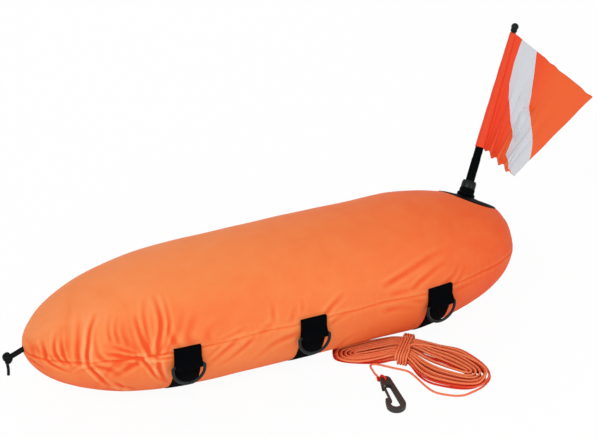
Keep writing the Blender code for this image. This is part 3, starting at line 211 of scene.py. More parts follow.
def linear(code):
    """An sRGB colour such as #f07c45 as linear red, green and blue."""
    values = [int(code[place : place + 2], 16) / 255 for place in (1, 3, 5)]
    return tuple(v / 12.92 if v <= 0.04045 else ((v + 0.055) / 1.055) ** 2.4 for v in values)


def colour(code, name, description):
    default = linear(code)
    return FloatVectorProperty(name=name, description=description, subtype="COLOR", size=3, default=default)


def length(value, name, description):
    return FloatProperty(
        name=name, description=description, unit="LENGTH", subtype="DISTANCE", default=value, precision=5
    )


class CoverSettings(bpy.types.PropertyGroup):
    fabric: colour("#f28649", "Fabric", "Orange of the coated nylon")
    # Painted shade: a deeper orange laid into the folds and where the cloth faces away from the lamps.
    fabric_shade: colour("#ec5222", "Deep fabric", "Orange of the nylon in its folds and where it faces away")
    # Painted highlight: a paler orange laid along the banks beside the creases and on the left end, standing
    # for sheen.
    fabric_highlight: colour("#f8a06c", "Pale fabric", "Orange of the nylon where it is rubbed along its ridges")
    groove: length(0.0009, "Seam groove", "Depth of the groove along a seam")
    pucker: length(0.0007, "Seam pucker", "Height of the small puckers along a seam")
    columns: IntProperty(name="Columns", description="Faces along the float", default=392)


class WebbingSettings(bpy.types.PropertyGroup):
    webbing: colour("#050608", "Webbing", "Black of the strap webbing")
    ring: colour("#10191b", "Ring", "Black of the moulded rings")


class MastSettings(bpy.types.PropertyGroup):
    rubber: colour("#030506", "Rubber", "Black of the base and the grip")
    plastic: colour("#060b0c", "Plastic", "Black of the collar, the rod and the ball")
    flutes: IntProperty(name="Flutes", description="Grip flutes round the collar", default=14)


class FlagSettings(bpy.types.PropertyGroup):
    red: colour("#ea4828", "Red", "Red of the flag")
    # Painted light: a brighter orange for the single layer towards the fly, where light shines through the
    # cloth.
    lit_tone: colour("#e96130", "Faded red", "Red of the flag towards its fly")
    white: colour("#cdd0d6", "White", "White of the flag's stripe")


class LineSettings(bpy.types.PropertyGroup):
    # Painted shade: the deeper red of the strands low in the hank, where less light reaches.
    shaded_tone: colour("#e63a22", "Line", "Colour of the strands where they were kept from the sun")
    # Painted light: the paler orange of the strands on top of the hank and along the free end.
    lit_tone: colour("#ff9e6a", "Faded line", "Colour of the strands where the sun has faded them")
    # Painted shade: the deep red between the strands.
    deep_shade: colour("#dd3018", "Line grooves", "Colour between the line's strands")
    diameter: length(LINE_DIAMETER, "Diameter", "Thickness of the float line")


class StageSettings(bpy.types.PropertyGroup):
    floor: colour("#ffffff", "Floor", "Colour of the floor")
    lamp: FloatProperty(name="Lamp", description="Power of the main lamp", default=27.0)


# Mesh tools
def add_object(name, bm, material):
    """Makes an object of a bmesh."""
    mesh = bpy.data.meshes.new(name)
    bm.to_mesh(mesh)
    bm.free()
    mesh.materials.append(material)
    piece = bpy.data.objects.new(name, mesh)
    bpy.context.scene.collection.objects.link(piece)
    return piece


def keep(bm, name, material, body, replaced, sharp=40.0, at=None):
    """Makes a finished piece of a bmesh, which rides on its body in place of the nodes that it stands for."""
    if at is not None:
        bmesh.ops.transform(bm, matrix=at, verts=bm.verts)
    bmesh.ops.recalc_face_normals(bm, faces=bm.faces)
    piece = add_object(name, bm, material)
    piece.data.shade_smooth()
    piece.data.set_sharp_from_angle(angle=radians(sharp))
    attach(piece, body)
    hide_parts(*replaced)
    return piece


def formed_grid(columns, rows, place, cloth=(1.0, 1.0), joined=False, marks=(), spacing=None):
    """A flat grid laid into shape by place(u, v), with its UV map in metres of the flat cloth.

    Each mark is a name and a function of (u, v) whose values the grid's points keep for a material to read. A
    spacing gives shares of the faces and the shares of the cloth that they cover, across and then up.
    """
    bm = bmesh.new()
    bmesh.ops.create_grid(bm, x_segments=columns, y_segments=rows, size=0.5)
    for axis, (faces, covered) in enumerate(spacing or ()):
        for vert in bm.verts:
            vert.co[axis] = np.interp(vert.co[axis] + 0.5, faces, covered) - 0.5
    flat = bm.loops.layers.uv.new("cloth")
    for face in bm.faces:
        for loop in face.loops:
            loop[flat].uv = ((loop.vert.co.x + 0.5) * cloth[0], (loop.vert.co.y + 0.5) * cloth[1])
    shares = np.array([vert.co[:2] for vert in bm.verts]) + 0.5
    for vert, point in zip(bm.verts, place(shares[:, 0], shares[:, 1])):
        vert.co = point
    for name, function in marks:
        layer = bm.verts.layers.float.new(name)
        for vert, value in zip(bm.verts, function(shares[:, 0], shares[:, 1])):
            vert[layer] = value
    if joined:
        bmesh.ops.remove_doubles(bm, verts=bm.verts, dist=1e-6)
    return bm


def thicken(piece, thickness, offset=0.0):
    """Gives a sheet its wall, with a rim."""
    wall = piece.modifiers.new("wall", "SOLIDIFY")
    wall.thickness = thickness
    wall.offset = offset
    wall.use_even_offset = False


def axes_at(x, y, z, origin):
    """A matrix with the given axes and origin."""
    matrix = Matrix((x, y, z)).transposed().to_4x4()
    matrix.translation = Vector(origin)
    return matrix


def squarish(value, power):
    """A sine or cosine drawn towards 1 with its sign kept, which turns a circle into a rounded square."""
    return copysign(abs(value) ** power, value)


def steps_along(path):
    """The distance of each point of a path from its start."""
    return np.concatenate([[0.0], np.cumsum(np.linalg.norm(np.diff(path, axis=0), axis=1))])


def resampled(points, spacing):
    """Points at even steps along a smooth curve through the given ones."""
    route = np.array([tuple(point) for point in points], float)
    padded = np.vstack([2 * route[0] - route[1], route, 2 * route[-1] - route[-2]])
    fine = []
    for before, start, end, after in zip(padded, padded[1:], padded[2:], padded[3:]):
        for t in np.arange(0, 1, 0.05):
            bend = (2 * before - 5 * start + 4 * end - after) * t * t
            bend = bend + (3 * start - before - 3 * end + after) * t**3
            fine.append(start + ((end - before) * t + bend) / 2)
    fine = np.array([*fine, route[-1]])
    along = steps_along(fine)
    count = max(2, round(along[-1] / spacing))
    even = np.linspace(0, along[-1], count + 1)
    return np.stack([np.interp(even, along, fine[:, axis]) for axis in range(3)], axis=1)


def path_frames(path, closed=False, up=None):
    """A sideways and an upward direction at each point of a path, carried along it without twist."""
    if closed:
        ahead = np.roll(path, -1, axis=0) - np.roll(path, 1, axis=0)
    else:
        ahead = np.gradient(path, axis=0)
    ahead /= np.linalg.norm(ahead, axis=1)[:, None]
    first = np.array(up if up is not None else (0.0, 0.0, 1.0))
    if abs(first @ ahead[0]) > 0.95:
        first = np.array((0.0, 1.0, 0.0))
    ups = []
    for direction in ahead:
        first = first - direction * (first @ direction)
        first /= np.linalg.norm(first)
        ups.append(first)
    ups = np.array(ups)
    return np.cross(ahead, ups), ups


def tube(path, half_width, half_height=None, sides=10, closed=False, up=None, marks=()):
    """A round or oval tube along a path with rounded ends, and its UV map in metres along and turns round."""
    path = np.array(path, float)
    half_height = half_height or half_width
    side, over = path_frames(path, closed, up)
    if closed:
        path, side, over = (np.vstack([part, part[:1]]) for part in (path, side, over))
        size = np.ones(len(path))
    else:
        ahead = np.cross(over, side)
        shares = np.array([0.0, 0.35, 0.7, 1.0])
        swell = np.sqrt(1 - (1 - shares) ** 2)
        shoulder = half_height * shares
        start = path[0] + ahead[0] * shoulder[:, None]
        end = path[-1] - ahead[-1] * shoulder[::-1, None]
        size = np.concatenate([swell, np.ones(len(path) - 2), swell[::-1]])
        path = np.vstack([start, path[1:-1], end])
        side, over = (np.vstack([part[[0] * 4], part[1:-1], part[[-1] * 4]]) for part in (side, over))
    along = steps_along(path)
    last = len(path) - 1

    def place(u, v):
        index = np.rint(u * last).astype(int)
        turn = 2 * pi * v
        wide = (np.cos(turn) * half_width * size[index])[:, None]
        high = (np.sin(turn) * half_height * size[index])[:, None]
        return path[index] + side[index] * wide + over[index] * high

    return formed_grid(last, sides, place, cloth=(along[-1], 1.0), joined=True, marks=marks)


def overhand(knot, axes, sizes, crossing, steps):
    """Points round an overhand knot, from its sideways, upward and lengthwise axes and its sizes."""
    side, over, ahead = axes
    points = []
    for step in range(steps):
        turn = 2 * pi * step / steps
        reach = sizes[0] * (sin(turn) + crossing * sin(2 * turn))
        rise = sizes[1] * (cos(turn) - crossing * cos(2 * turn))
        points.append(knot + side * reach + over * rise + ahead * sizes[2] * sin(3 * turn))
    return points


def spun(profile, steps=64):
    """A turned solid round Z from (radius, height) points."""
    bm = bmesh.new()
    verts = [bm.verts.new((radius, 0.0, height)) for radius, height in profile]
    edges = [bm.edges.new(pair) for pair in zip(verts, verts[1:] + verts[:1])]
    bmesh.ops.spin(
        bm, geom=verts + edges, cent=(0, 0, 0), axis=(0, 0, 1), angle=2 * pi, steps=steps, use_merge=True
    )
    bmesh.ops.remove_doubles(bm, verts=bm.verts, dist=1e-6)
    bmesh.ops.dissolve_degenerate(bm, edges=bm.edges, dist=1e-7)
    return bm


def rounded(profile, radius, steps=4):
    """A closed profile with its corners rounded, apart from those on the axis."""
    result = []
    count = len(profile)
    for index, corner in enumerate(profile):
        before = Vector(profile[index - 1])
        here = Vector(corner)
        after = Vector(profile[(index + 1) % count])
        if corner[0] < 1e-6:
            result.append(tuple(here))
            continue
        reach = min(radius, (before - here).length * 0.45, (after - here).length * 0.45)
        start = here + (before - here).normalized() * reach
        end = here + (after - here).normalized() * reach
        for step in range(steps + 1):
            t = step / steps
            result.append(tuple(start.lerp(here, t).lerp(here.lerp(end, t), t)))
    return result


# Material tools
def plug(node, inputs):
    """Fills a node's inputs: a socket or a node's first output is linked, and anything else is the value."""
    for key, value in inputs.items():
        if isinstance(value, bpy.types.Node):
            value = value.outputs[0]
        if isinstance(value, bpy.types.NodeSocket):
            node.id_data.links.new(value, node.inputs[key])
        else:
            node.inputs[key].default_value = value


def add_node(tree, kind, inputs=None, **settings):
    """Adds a node with its settings, values and links."""
    node = tree.nodes.new(f"ShaderNode{kind}")
    for key, value in settings.items():
        setattr(node, key, value)
    plug(node, inputs or {})
    return node


def new_material(name, roughness, specular):
    """A material with its Principled shader, whose sockets hold what is the same all over the surface."""
    material = bpy.data.materials.new(name)
    material.use_nodes = True
    shader = material.node_tree.nodes["Principled BSDF"]
    plug(shader, {"Roughness": roughness, "Specular IOR Level": specular})
    return material, material.node_tree, shader


def plain_weave(tree, cloth, spacing):
    """The height of threads that cross over each other at this spacing."""
    threads = {}
    for index, way in enumerate("XY"):
        wave = add_node(tree, "TexWave", {"Scale": BAND / spacing, "Vector": cloth}, bands_direction=way)
        threads[index] = wave.outputs["Fac"]
    return add_node(tree, "Math", threads, operation="MULTIPLY")


def coated_nylon(settings):
    """Coated woven nylon: a plain weave under a satin coating, with painted shade in its folds and painted
    highlight on their banks.
    """
    material, tree, shader = new_material("coated_nylon_orange", 0.55, 0.12)
    tones = (settings.fabric, settings.fabric_shade, settings.fabric_highlight)
    fabric, deep_shade, highlight_tone = ((*tone, 1) for tone in tones)
    cloth = add_node(tree, "UVMap", uv_map="cloth")
    clouds = add_node(tree, "TexNoise", {"Scale": 26.0, "Detail": 6.0, "Roughness": 0.62, "Vector": cloth})
    # The fold mark carries painted shade below 0 and painted highlight above 0; the cloud noise only varies the
    # tone at random.
    fold = add_node(tree, "Attribute", attribute_name="fold")
    worn = add_node(tree, "Math", {0: clouds, 1: 0.55, 2: -0.275}, operation="MULTIPLY_ADD")
    height = add_node(tree, "Math", {0: fold.outputs["Fac"], 1: worn}, operation="ADD")
    low = add_node(tree, "MapRange", {"From Max": -1.0, "Value": height})
    high = add_node(tree, "MapRange", {"Value": height})
    # Painted shade of the folds and the far side first, then painted highlight on the crease banks.
    tone = add_node(tree, "Mix", {0: low, 6: fabric, 7: deep_shade}, data_type="RGBA")
    tone = add_node(tree, "Mix", {0: high, 6: tone.outputs[2], 7: highlight_tone}, data_type="RGBA")
    # Threads stand 0.9 mm apart, drawn twice as coarse as real ones so that they show.
    weave = plain_weave(tree, cloth, 0.0009)
    creep = add_node(tree, "TexNoise", {"Scale": 60.0, "Detail": 3.0, "Distortion": 0.6, "Vector": cloth})
    fine = add_node(tree, "Bump", {"Strength": 0.25, "Distance": 0.0002, "Height": weave})
    soft = add_node(tree, "Bump", {"Strength": 0.3, "Distance": 0.001, "Height": creep, "Normal": fine})
    plug(shader, {"Base Color": tone.outputs[2], "Normal": soft})
    return material


def black_webbing(settings):
    """Woven polyester webbing: a herringbone of 1.6 mm ribs in matt black, with painted shade between its ribs
    and painted highlight on them.
    """
    material, tree, shader = new_material("polyester_webbing_black", 0.8, 0.015)
    cloth = add_node(tree, "UVMap", uv_map="cloth")
    parts = add_node(tree, "SeparateXYZ", {0: cloth})
    across = add_node(tree, "Math", {0: parts.outputs["Y"], 1: 0.006}, operation="PINGPONG")
    slant = add_node(tree, "CombineXYZ", {"X": parts.outputs["X"], "Y": across})
    bands = {"Scale": DIAGONAL_BAND / 0.0016, "Vector": slant}
    ribs = add_node(tree, "TexWave", bands, bands_direction="DIAGONAL").outputs["Fac"]
    # Painted shade in the grooves between the ribs and painted highlight on their tops.
    dark, lit = ((*(value * share for value in settings.webbing), 1) for share in (0.3, 2.0))
    tint = add_node(tree, "Mix", {0: ribs, 6: dark, 7: lit}, data_type="RGBA")
    bump = add_node(tree, "Bump", {"Strength": 0.6, "Distance": 0.0003, "Height": ribs})
    plug(shader, {"Base Color": tint.outputs[2], "Normal": bump})
    return material


def moulded(name, tint, roughness, grain=0.0006, depth=0.00006, lift=1.8, shine=0.5):
    """A moulded plastic or rubber: an even body colour with a fine grain and slight clouding of its gloss."""
    material, tree, shader = new_material(name, roughness, shine)
    place = add_node(tree, "TexCoord").outputs["Object"]
    grains = add_node(tree, "TexNoise", {"Scale": 1 / grain, "Detail": 2.0, "Vector": place})
    clouds = add_node(tree, "TexNoise", {"Scale": 90.0, "Detail": 3.0, "Vector": place})
    lighter = (*(value * lift for value in tint), 1)
    tone = add_node(tree, "Mix", {0: clouds, 6: (*tint, 1), 7: lighter}, data_type="RGBA")
    limits = {"To Min": roughness - 0.08, "To Max": roughness + 0.1}
    gloss = add_node(tree, "MapRange", {"Value": clouds, **limits})
    bump = add_node(tree, "Bump", {"Strength": 0.5, "Distance": depth, "Height": grains})
    plug(shader, {"Base Color": tone.outputs[2], "Roughness": gloss, "Normal": bump})
    return material


def flag_cloth(settings):
    """Coated flag cloth in red with a sewn-in white stripe, with painted light making its red brighter towards
    the fly, where light shines through the single layer.
    """
    material, tree, shader = new_material("coated_flag_cloth", 0.55, 0.15)
    shaded_tone, lit_tone, white = ((*tone, 1) for tone in (settings.red, settings.lit_tone, settings.white))
    cloth = add_node(tree, "UVMap", uv_map="cloth")
    stripe = add_node(tree, "Attribute", attribute_name="stripe")
    lit_through = add_node(tree, "Attribute", attribute_name="lit_through")
    inside = add_node(tree, "Math", {0: stripe.outputs["Fac"], 1: 0.0}, operation="GREATER_THAN")
    # Painted light: the red brightens towards the fly and stays deeper by the mast, where the pleated cloth
    # lets less light through.
    red = add_node(tree, "Mix", {0: lit_through.outputs["Fac"], 6: shaded_tone, 7: lit_tone}, data_type="RGBA")
    tint = add_node(tree, "Mix", {0: inside, 6: red.outputs[2], 7: white}, data_type="RGBA")
    # Threads stand 0.8 mm apart, drawn coarser than real ones so that they show.
    weave = plain_weave(tree, cloth, 0.0008)
    bump = add_node(tree, "Bump", {"Strength": 0.12, "Distance": 0.00015, "Height": weave})
    plug(shader, {"Base Color": tint.outputs[2], "Normal": bump})
    return material


def braided(name, tones, pitch, roughness):
    """Braided polyester cord: two sets of strands that cross each other, with painted shade between the
    strands, painted shade on the low strands of a hank and painted light on its high ones, and random runs of
    lighter and darker along it.
    """
    material, tree, shader = new_material(name, roughness, 0.1)
    shaded_tone, lit_tone, deep_shade = ((*tone, 1) for tone in tones)
    cloth = add_node(tree, "UVMap", uv_map="cloth")
    strands = {}
    for index, hand in enumerate((1, -1)):
        winding = {"Scale": (DIAGONAL_BAND / pitch, hand * DIAGONAL_BAND * 4, 0.0), "Vector": cloth}
        wound = add_node(tree, "Mapping", winding)
        wave = add_node(tree, "TexWave", {"Scale": 1.0, "Vector": wound}, bands_direction="DIAGONAL")
        strands[index] = wave.outputs["Fac"]
    braid = add_node(tree, "Math", strands, operation="MAXIMUM")
    runs = add_node(tree, "Mapping", {"Scale": (7.0, 0.0, 0.0), "Vector": cloth})
    rubbed = add_node(tree, "TexNoise", {"Scale": 1.0, "Detail": 2.0, "Vector": runs})
    # Painted light and shade: the lit share lightens strands high in the hank and on the free end, and leaves
    # those beneath darker.
    lit_share = add_node(tree, "Attribute", attribute_name="lit_share")
    uneven = add_node(tree, "Math", {0: rubbed, 1: lit_share.outputs["Fac"]}, operation="ADD")
    share = add_node(tree, "MapRange", {"From Min": 0.65, "From Max": 1.25, "Value": uneven})
    strand = add_node(tree, "Mix", {0: share, 6: shaded_tone, 7: lit_tone}, data_type="RGBA")
    # Painted shade between the strands.
    tone = add_node(tree, "Mix", {0: braid, 6: deep_shade, 7: strand.outputs[2]}, data_type="RGBA")
    bump = add_node(tree, "Bump", {"Strength": 0.7, "Distance": 0.0004, "Height": braid})
    plug(shader, {"Base Color": tone.outputs[2], "Normal": bump})
    return material


# Float surface
def end_radius(share, powers):
    rise, fall = powers
    return RADIUS * np.clip(1 - np.clip(share, 0, 1) ** rise, 0, 1) ** (1 / fall)


def end_share(radius, powers):
    rise, fall = powers
    return (1 - (radius / RADIUS) ** fall) ** (1 / rise)


def float_radius(x):
    left = end_radius((LEFT_SHOULDER_X - x) / LEFT_END_LENGTH, LEFT_END_POWERS)
    right = end_radius((x - RIGHT_SHOULDER_X) / RIGHT_END_LENGTH, RIGHT_END_POWERS)
    return np.where(x < LEFT_SHOULDER_X, left, np.where(x > RIGHT_SHOULDER_X, right, RADIUS))


def profile_normal(x):
    """The outward normal of the profile: its part along the float and its part away from the axis."""
    low = np.maximum(LEFT_TIP_X, x - 0.00005)
    high = np.minimum(RIGHT_TIP_X, x + 0.00005)
    along = float_radius(low) - float_radius(high)
    out = high - low
    size = np.hypot(along, out)
    return along / size, out / size


def full_skin(x, angle, out):
    """Points at a distance outside the cover without its mast. The floor presses its underside flat."""
    x, angle, out = np.broadcast_arrays(*(np.asarray(value, float) for value in (x, angle, out)))
    along, away = profile_normal(x)
    distance = float_radius(x) + away * out
    turn = np.radians(angle)
    height = np.maximum(AXIS_HEIGHT + distance * np.cos(turn), FLOOR_GAP - out)
    return np.stack([x + along * out, -distance * np.sin(turn), height], axis=-1)


def mast_frame():
    """A matrix at the mast's foot: Z up the mast, X towards the float's right end."""
    turn = radians(MAST_ANGLE)
    tilt = radians(MAST_TILT)
    up = Vector((sin(tilt), -cos(tilt) * sin(turn), cos(tilt) * cos(turn)))
    right = Vector((cos(tilt), sin(tilt) * sin(turn), -sin(tilt) * cos(turn)))
    return axes_at(right, up.cross(right), up, full_skin(MAST_BASE_X, MAST_ANGLE, 0.0))


MAST_FOOT = np.array(mast_frame().translation)
MAST_UP = np.array(mast_frame().col[2][:3])


def skin(x, angle, out):
    """Points at a distance outside the cover, which the mast's stiff base presses flat under itself."""
    place = full_skin(x, angle, out)
    above = (place - MAST_FOOT) @ MAST_UP + MAST_FLAT_DEPTH - out
    return place - np.maximum(above, 0.0)[..., None] * MAST_UP


def stations():
    """Places along the float with the length of cloth up to each, so that rows stand evenly on the cloth."""
    ends = ((MOUTH_RADIUS, LEFT_END_POWERS), (RIGHT_TIP_RADIUS, RIGHT_END_POWERS))
    left, right = (np.sin(np.linspace(0, 1, 400) * np.arcsin(end_share(*end))) for end in ends)
    left = LEFT_SHOULDER_X - left[::-1] * LEFT_END_LENGTH
    x = np.concatenate([left, RIGHT_SHOULDER_X + right * RIGHT_END_LENGTH])
    return x, steps_along(np.stack([x, float_radius(x)], axis=1))


STATION_X, STATION_LENGTH = stations()

# Wrinkles of the cover, each from its deep end: points as (x, girth from the front seam) in mm, then the half
# width and the depth in mm
WRINKLES = (
    (((-303, -88), (-318, -74), (-336, -62)), 7.0, -2.6),
    (((-369, -2), (-369, 14), (-365, 30), (-361, 46), (-355, 60), (-342, 82)), 4.0, 4.2),
    (((-382, -1), (-382, 18), (-378, 38), (-373, 59), (-366, 82)), 5.0, 1.9),
    (((-401, -4), (-411, 8), (-413, 23), (-408, 40), (-401, 56)), 3.5, 2.5),
    (((-394, -5), (-401, 6), (-403, 23), (-402, 39), (-396, 58)), 3.5, 2.0),
    (((-426, 1), (-426, 14), (-427, 26), (-425, 35)), 3.5, 2.4),
    (((-439, -1), (-441, 9), (-441, 20)), 3.0, 1.0),
    (((-343, 0), (-353, 12), (-355, 30), (-354, 46), (-346, 66)), 5.0, 1.2),
    (((-332, 32), (-332, 49), (-328, 64), (-321, 80)), 4.0, 1.1),
    (((-320, 31), (-322, 48), (-318, 63), (-312, 77)), 4.0, 0.9),
    (((-307, 26), (-310, 46), (-307, 66)), 5.0, 0.7),
    (((-287, -3), (-311, 5), (-328, 10), (-343, 13)), 4.2, 2.8),
    (((-290, 2), (-312, 16), (-330, 25), (-344, 28)), 4.0, 1.0),
    (((-274, -2), (-282, 22), (-286, 45), (-287, 64), (-285, 75)), 5.0, 2.8),
    (((-271, -2), (-276, 30), (-275, 62), (-270, 84), (-262, 101)), 5.0, 1.8),
    (((-267, -2), (-258, 25), (-251, 50), (-250, 78), (-252, 100)), 5.5, 3.0),
    (((-265, -3), (-249, 23), (-239, 48), (-237, 74), (-238, 101)), 4.5, 1.8),
    (((-263, -4), (-239, 19), (-222, 41), (-212, 67)), 7.0, 0.9),
    (((-266, -5), (-255, -6), (-244, -7), (-235, -9)), 3.5, 2.6),
    (((-263, -1), (-251, 2), (-237, 4)), 3.5, 1.4),
    (((-369, -6), (-360, -20), (-348, -41), (-334, -64)), 4.5, 3.4),
    (((-366, -5), (-348, -11), (-331, -22), (-319, -39)), 6.0, 1.4),
    (((-373, -6), (-383, -12), (-393, -22)), 4.0, -1.3),
    (((-287, -4), (-277, -20), (-265, -44), (-247, -72)), 4.2, 2.6),
    (((-263, -10), (-259, -32), (-252, -53), (-243, -71)), 4.8, 3.2),
    (((-273, -8), (-270, -17), (-264, -28), (-257, -42)), 3.5, 1.4),
    (((-289, -4), (-304, -13), (-320, -24), (-335, -35)), 6.5, 1.5),
    (((-426, -1), (-417, -8), (-405, -16), (-391, -21)), 3.8, 2.2),
    (((-444, -10), (-436, -16), (-424, -24)), 4.0, 1.2),
    (((-313, -77), (-322, -58), (-332, -44)), 5.0, 1.6),
    (((-117, 16), (-141, 9), (-160, 5), (-187, 4)), 4.6, 0.6),
    (((-133, -2), (-152, -16), (-169, -30), (-184, -47)), 5.8, 1.32),
    (((-103, -5), (-126, -24), (-147, -40), (-163, -51)), 5.8, 1.26),
    (((-160, -4), (-174, -15), (-186, -25)), 4.6, 0.9),
    (((-25, -17), (-62, -25), (-86, -43), (-105, -65)), 7.5, 1.02),
    (((-70, 12), (-88, 0), (-103, -20)), 6.9, 0.66),
    (((-68, 18), (-67, 33), (-66, 49)), 5.2, 0.84),
    (((-38, 10), (-32, 24), (-24, 35)), 5.8, 0.66),
    (((-19, 22), (-16, 33), (-18, 44)), 4.6, 0.66),
    (((21, 7), (31, 16), (42, 24), (60, 37)), 5.8, 1.38),
    (((30, -14), (52, -3), (74, 1)), 5.8, 0.84),
    (((54, -98), (64, -68), (83, -52)), 6.9, 0.78),
    (((-208, 10), (-212, 26), (-203, 44), (-189, 62)), 8.1, 0.78),
    (((-181, 10), (-177, 27), (-156, 39)), 8.1, 0.54),
    (((-232, 12), (-239, 35), (-240, 51)), 6.0, 1.0),
    (((130, 30), (156, 39), (187, 50), (217, 60), (247, 62)), 6.3, 1.05),
    (((180, 16), (195, 26), (222, 38), (248, 45)), 5.8, 1.05),
    (((142, 12), (169, 14), (196, 16)), 5.8, 0.59),
    (((236, 8), (249, 13), (260, 20), (269, 35)), 5.2, 0.71),
    (((259, 2), (272, 12), (281, 26)), 5.2, 0.59),
    (((128, -16), (155, -16), (185, -22)), 6.9, 0.63),
    (((196, -12), (173, -6), (150, -10)), 5.8, 0.46),
    (((259, -13), (285, -10), (313, -11)), 5.8, 0.38),
)


def wrinkle_height(x, girth):
    """The height of the large wrinkles over the smooth cover, in metres."""
    place = np.stack([x, girth], axis=1) * 1000
    total = np.zeros(len(x))
    for points, half_width, depth in WRINKLES:
        route = resampled([(px, py, 0.0) for px, py in points], 4.0)[:, :2]
        reach = half_width * 4
        low = route.min(0) - reach
        high = route.max(0) + reach
        near = np.all((place > low) & (place < high), axis=1)
        if not near.any():
            continue
        gaps = np.linalg.norm(place[near, None] - route[None], axis=2)
        nearest = gaps.argmin(axis=1)
        gap = gaps.min(axis=1)
        share = nearest / (len(route) - 1)
        fade = (1 - share) ** 0.7 * np.clip(0.4 + share * 5, 0, 1)
        valley = np.exp(-((gap / (0.62 * half_width)) ** 1.3))
        banks = 0.5 * np.exp(-(((gap - 1.4 * half_width) / (0.55 * half_width)) ** 2))
        total[near] += (banks - valley) * depth * fade
    return total / 1000


def smooth_noise(x, y, seed):
    """A smooth wavy value from -1 to 1 over the cloth."""
    phase = seed * 1.7
    value = np.sin(x + 0.7 * np.sin(y * 0.8 + phase) + phase)
    value = value + np.sin(y * 1.3 - 0.9 * np.sin(x * 0.6 - phase) + 2 * phase)
    return value / 2


def crumple(x, y, seed):
    """A smooth value from -1 to 1 over the cloth whose low places are sharp lines, as creases are."""
    first = smooth_noise(x, y, seed)
    second = smooth_noise(x * 1.9 + 3 * first, y * 2.3 - 2 * first, seed + 2)
    return 1 - 2 * np.exp(-3.5 * np.abs(first + 0.35 * second)) - 0.3


def ramp(value, start, span):
    """A share that rises from 0 at the start to 1 a span further on."""
    return np.clip((value - start) / span, 0, 1)


def seam_creases(x, girth, settings):
    """The groove of a seam, the low banks beside it and the puckers that its thread draws up."""
    away = np.abs(girth)
    groove = settings.groove * (0.6 + 0.4 * ramp(-x, 0.1, 0.15)) * np.exp(-((away / 0.0015) ** 2))
    bank = settings.groove * 0.25 * np.exp(-(((away - 0.005) / 0.003) ** 2))
    wave = np.sin(x * 2 * pi / 0.0115 + 2.6 * np.sin(x * 67 + girth * 40) + 1.7 * np.sin(x * 29))
    gathered = (0.4 + 0.6 * smooth_noise(x * 34, girth * 20, 3)) * (0.3 + 0.7 * ramp(-x, 0.05, 0.2))
    reach = np.exp(-away / 0.012) * (1 - np.exp(-((away / 0.002) ** 2)))
    return bank - groove + settings.pucker * gathered * wave * reach


def cover_relief(x, angle, settings):
    """How far the cover's cloth stands from its smooth form, and how much of that its creases make."""
    radius = float_radius(x)
    turn = np.radians(angle)
    front = np.radians(FRONT_SEAM - angle) * radius
    back = np.radians(angle - (BACK_SEAM - 360 * (angle < 90))) * radius
    # The hidden side has the near side's wrinkles, turned end for end and a little lower.
    creases = wrinkle_height(x, front) + 0.8 * wrinkle_height(-x * 0.94 - 0.03, back) * (np.abs(back) < 0.13)
    creases += seam_creases(x, front, settings) + seam_creases(x, back, settings)
    depth = 0.0005 * (ramp(-x, 0.20, 0.14) + 0.04) * np.exp(-np.abs(front) / 0.09)
    creases += depth * crumple(x * 46, front * 21, 5)
    tip = 1 - ramp(x, LEFT_TIP_X, 0.05)
    relief = creases + 0.0009 * tip**1.5 * (1 - tip**6) * np.sin(turn * 17 + 1.5 * np.sin(turn * 3))
    relief += 0.0007 * smooth_noise(x * 26, turn * 5.2, 1) + 0.0003 * smooth_noise(x * 75 + 4, turn * 13, 2)
    # Straps, the mast's base and the tips hold the cloth down.
    under = np.ones(len(x))
    strapped = (angle > STRAP_LOW - 3) & (angle < STRAP_HIGH + 3)
    for station in STRAP_STATIONS.values():
        under = np.where(strapped, under * ramp(np.abs(x - station), STRAP_HALF, 0.006), under)
    pressed = ramp(np.hypot(x - MAST_BASE_X, np.radians(angle - MAST_ANGLE) * radius), BASE_RADIUS, 0.008)
    relief = np.where(relief > 0, relief * under * pressed, relief * np.clip(pressed + 0.15, 0, 1))
    held = ramp(x, LEFT_TIP_X, 0.006) * ramp(-x, -RIGHT_TIP_X, 0.010)
    return relief * held, creases * held


def seam_wander(x, angle):
    """How far, in degrees, the sewn seams wander round the float from a straight line."""
    wander = 0.55 * np.sin(x * 31 + 1) + 0.4 * np.sin(x * 77 + 2 * np.sin(x * 19))
    near = np.abs(angle - FRONT_SEAM), np.abs(angle - BACK_SEAM), np.abs(angle - BACK_SEAM + 360)
    return wander * np.exp(-np.minimum.reduce(near) / 14)


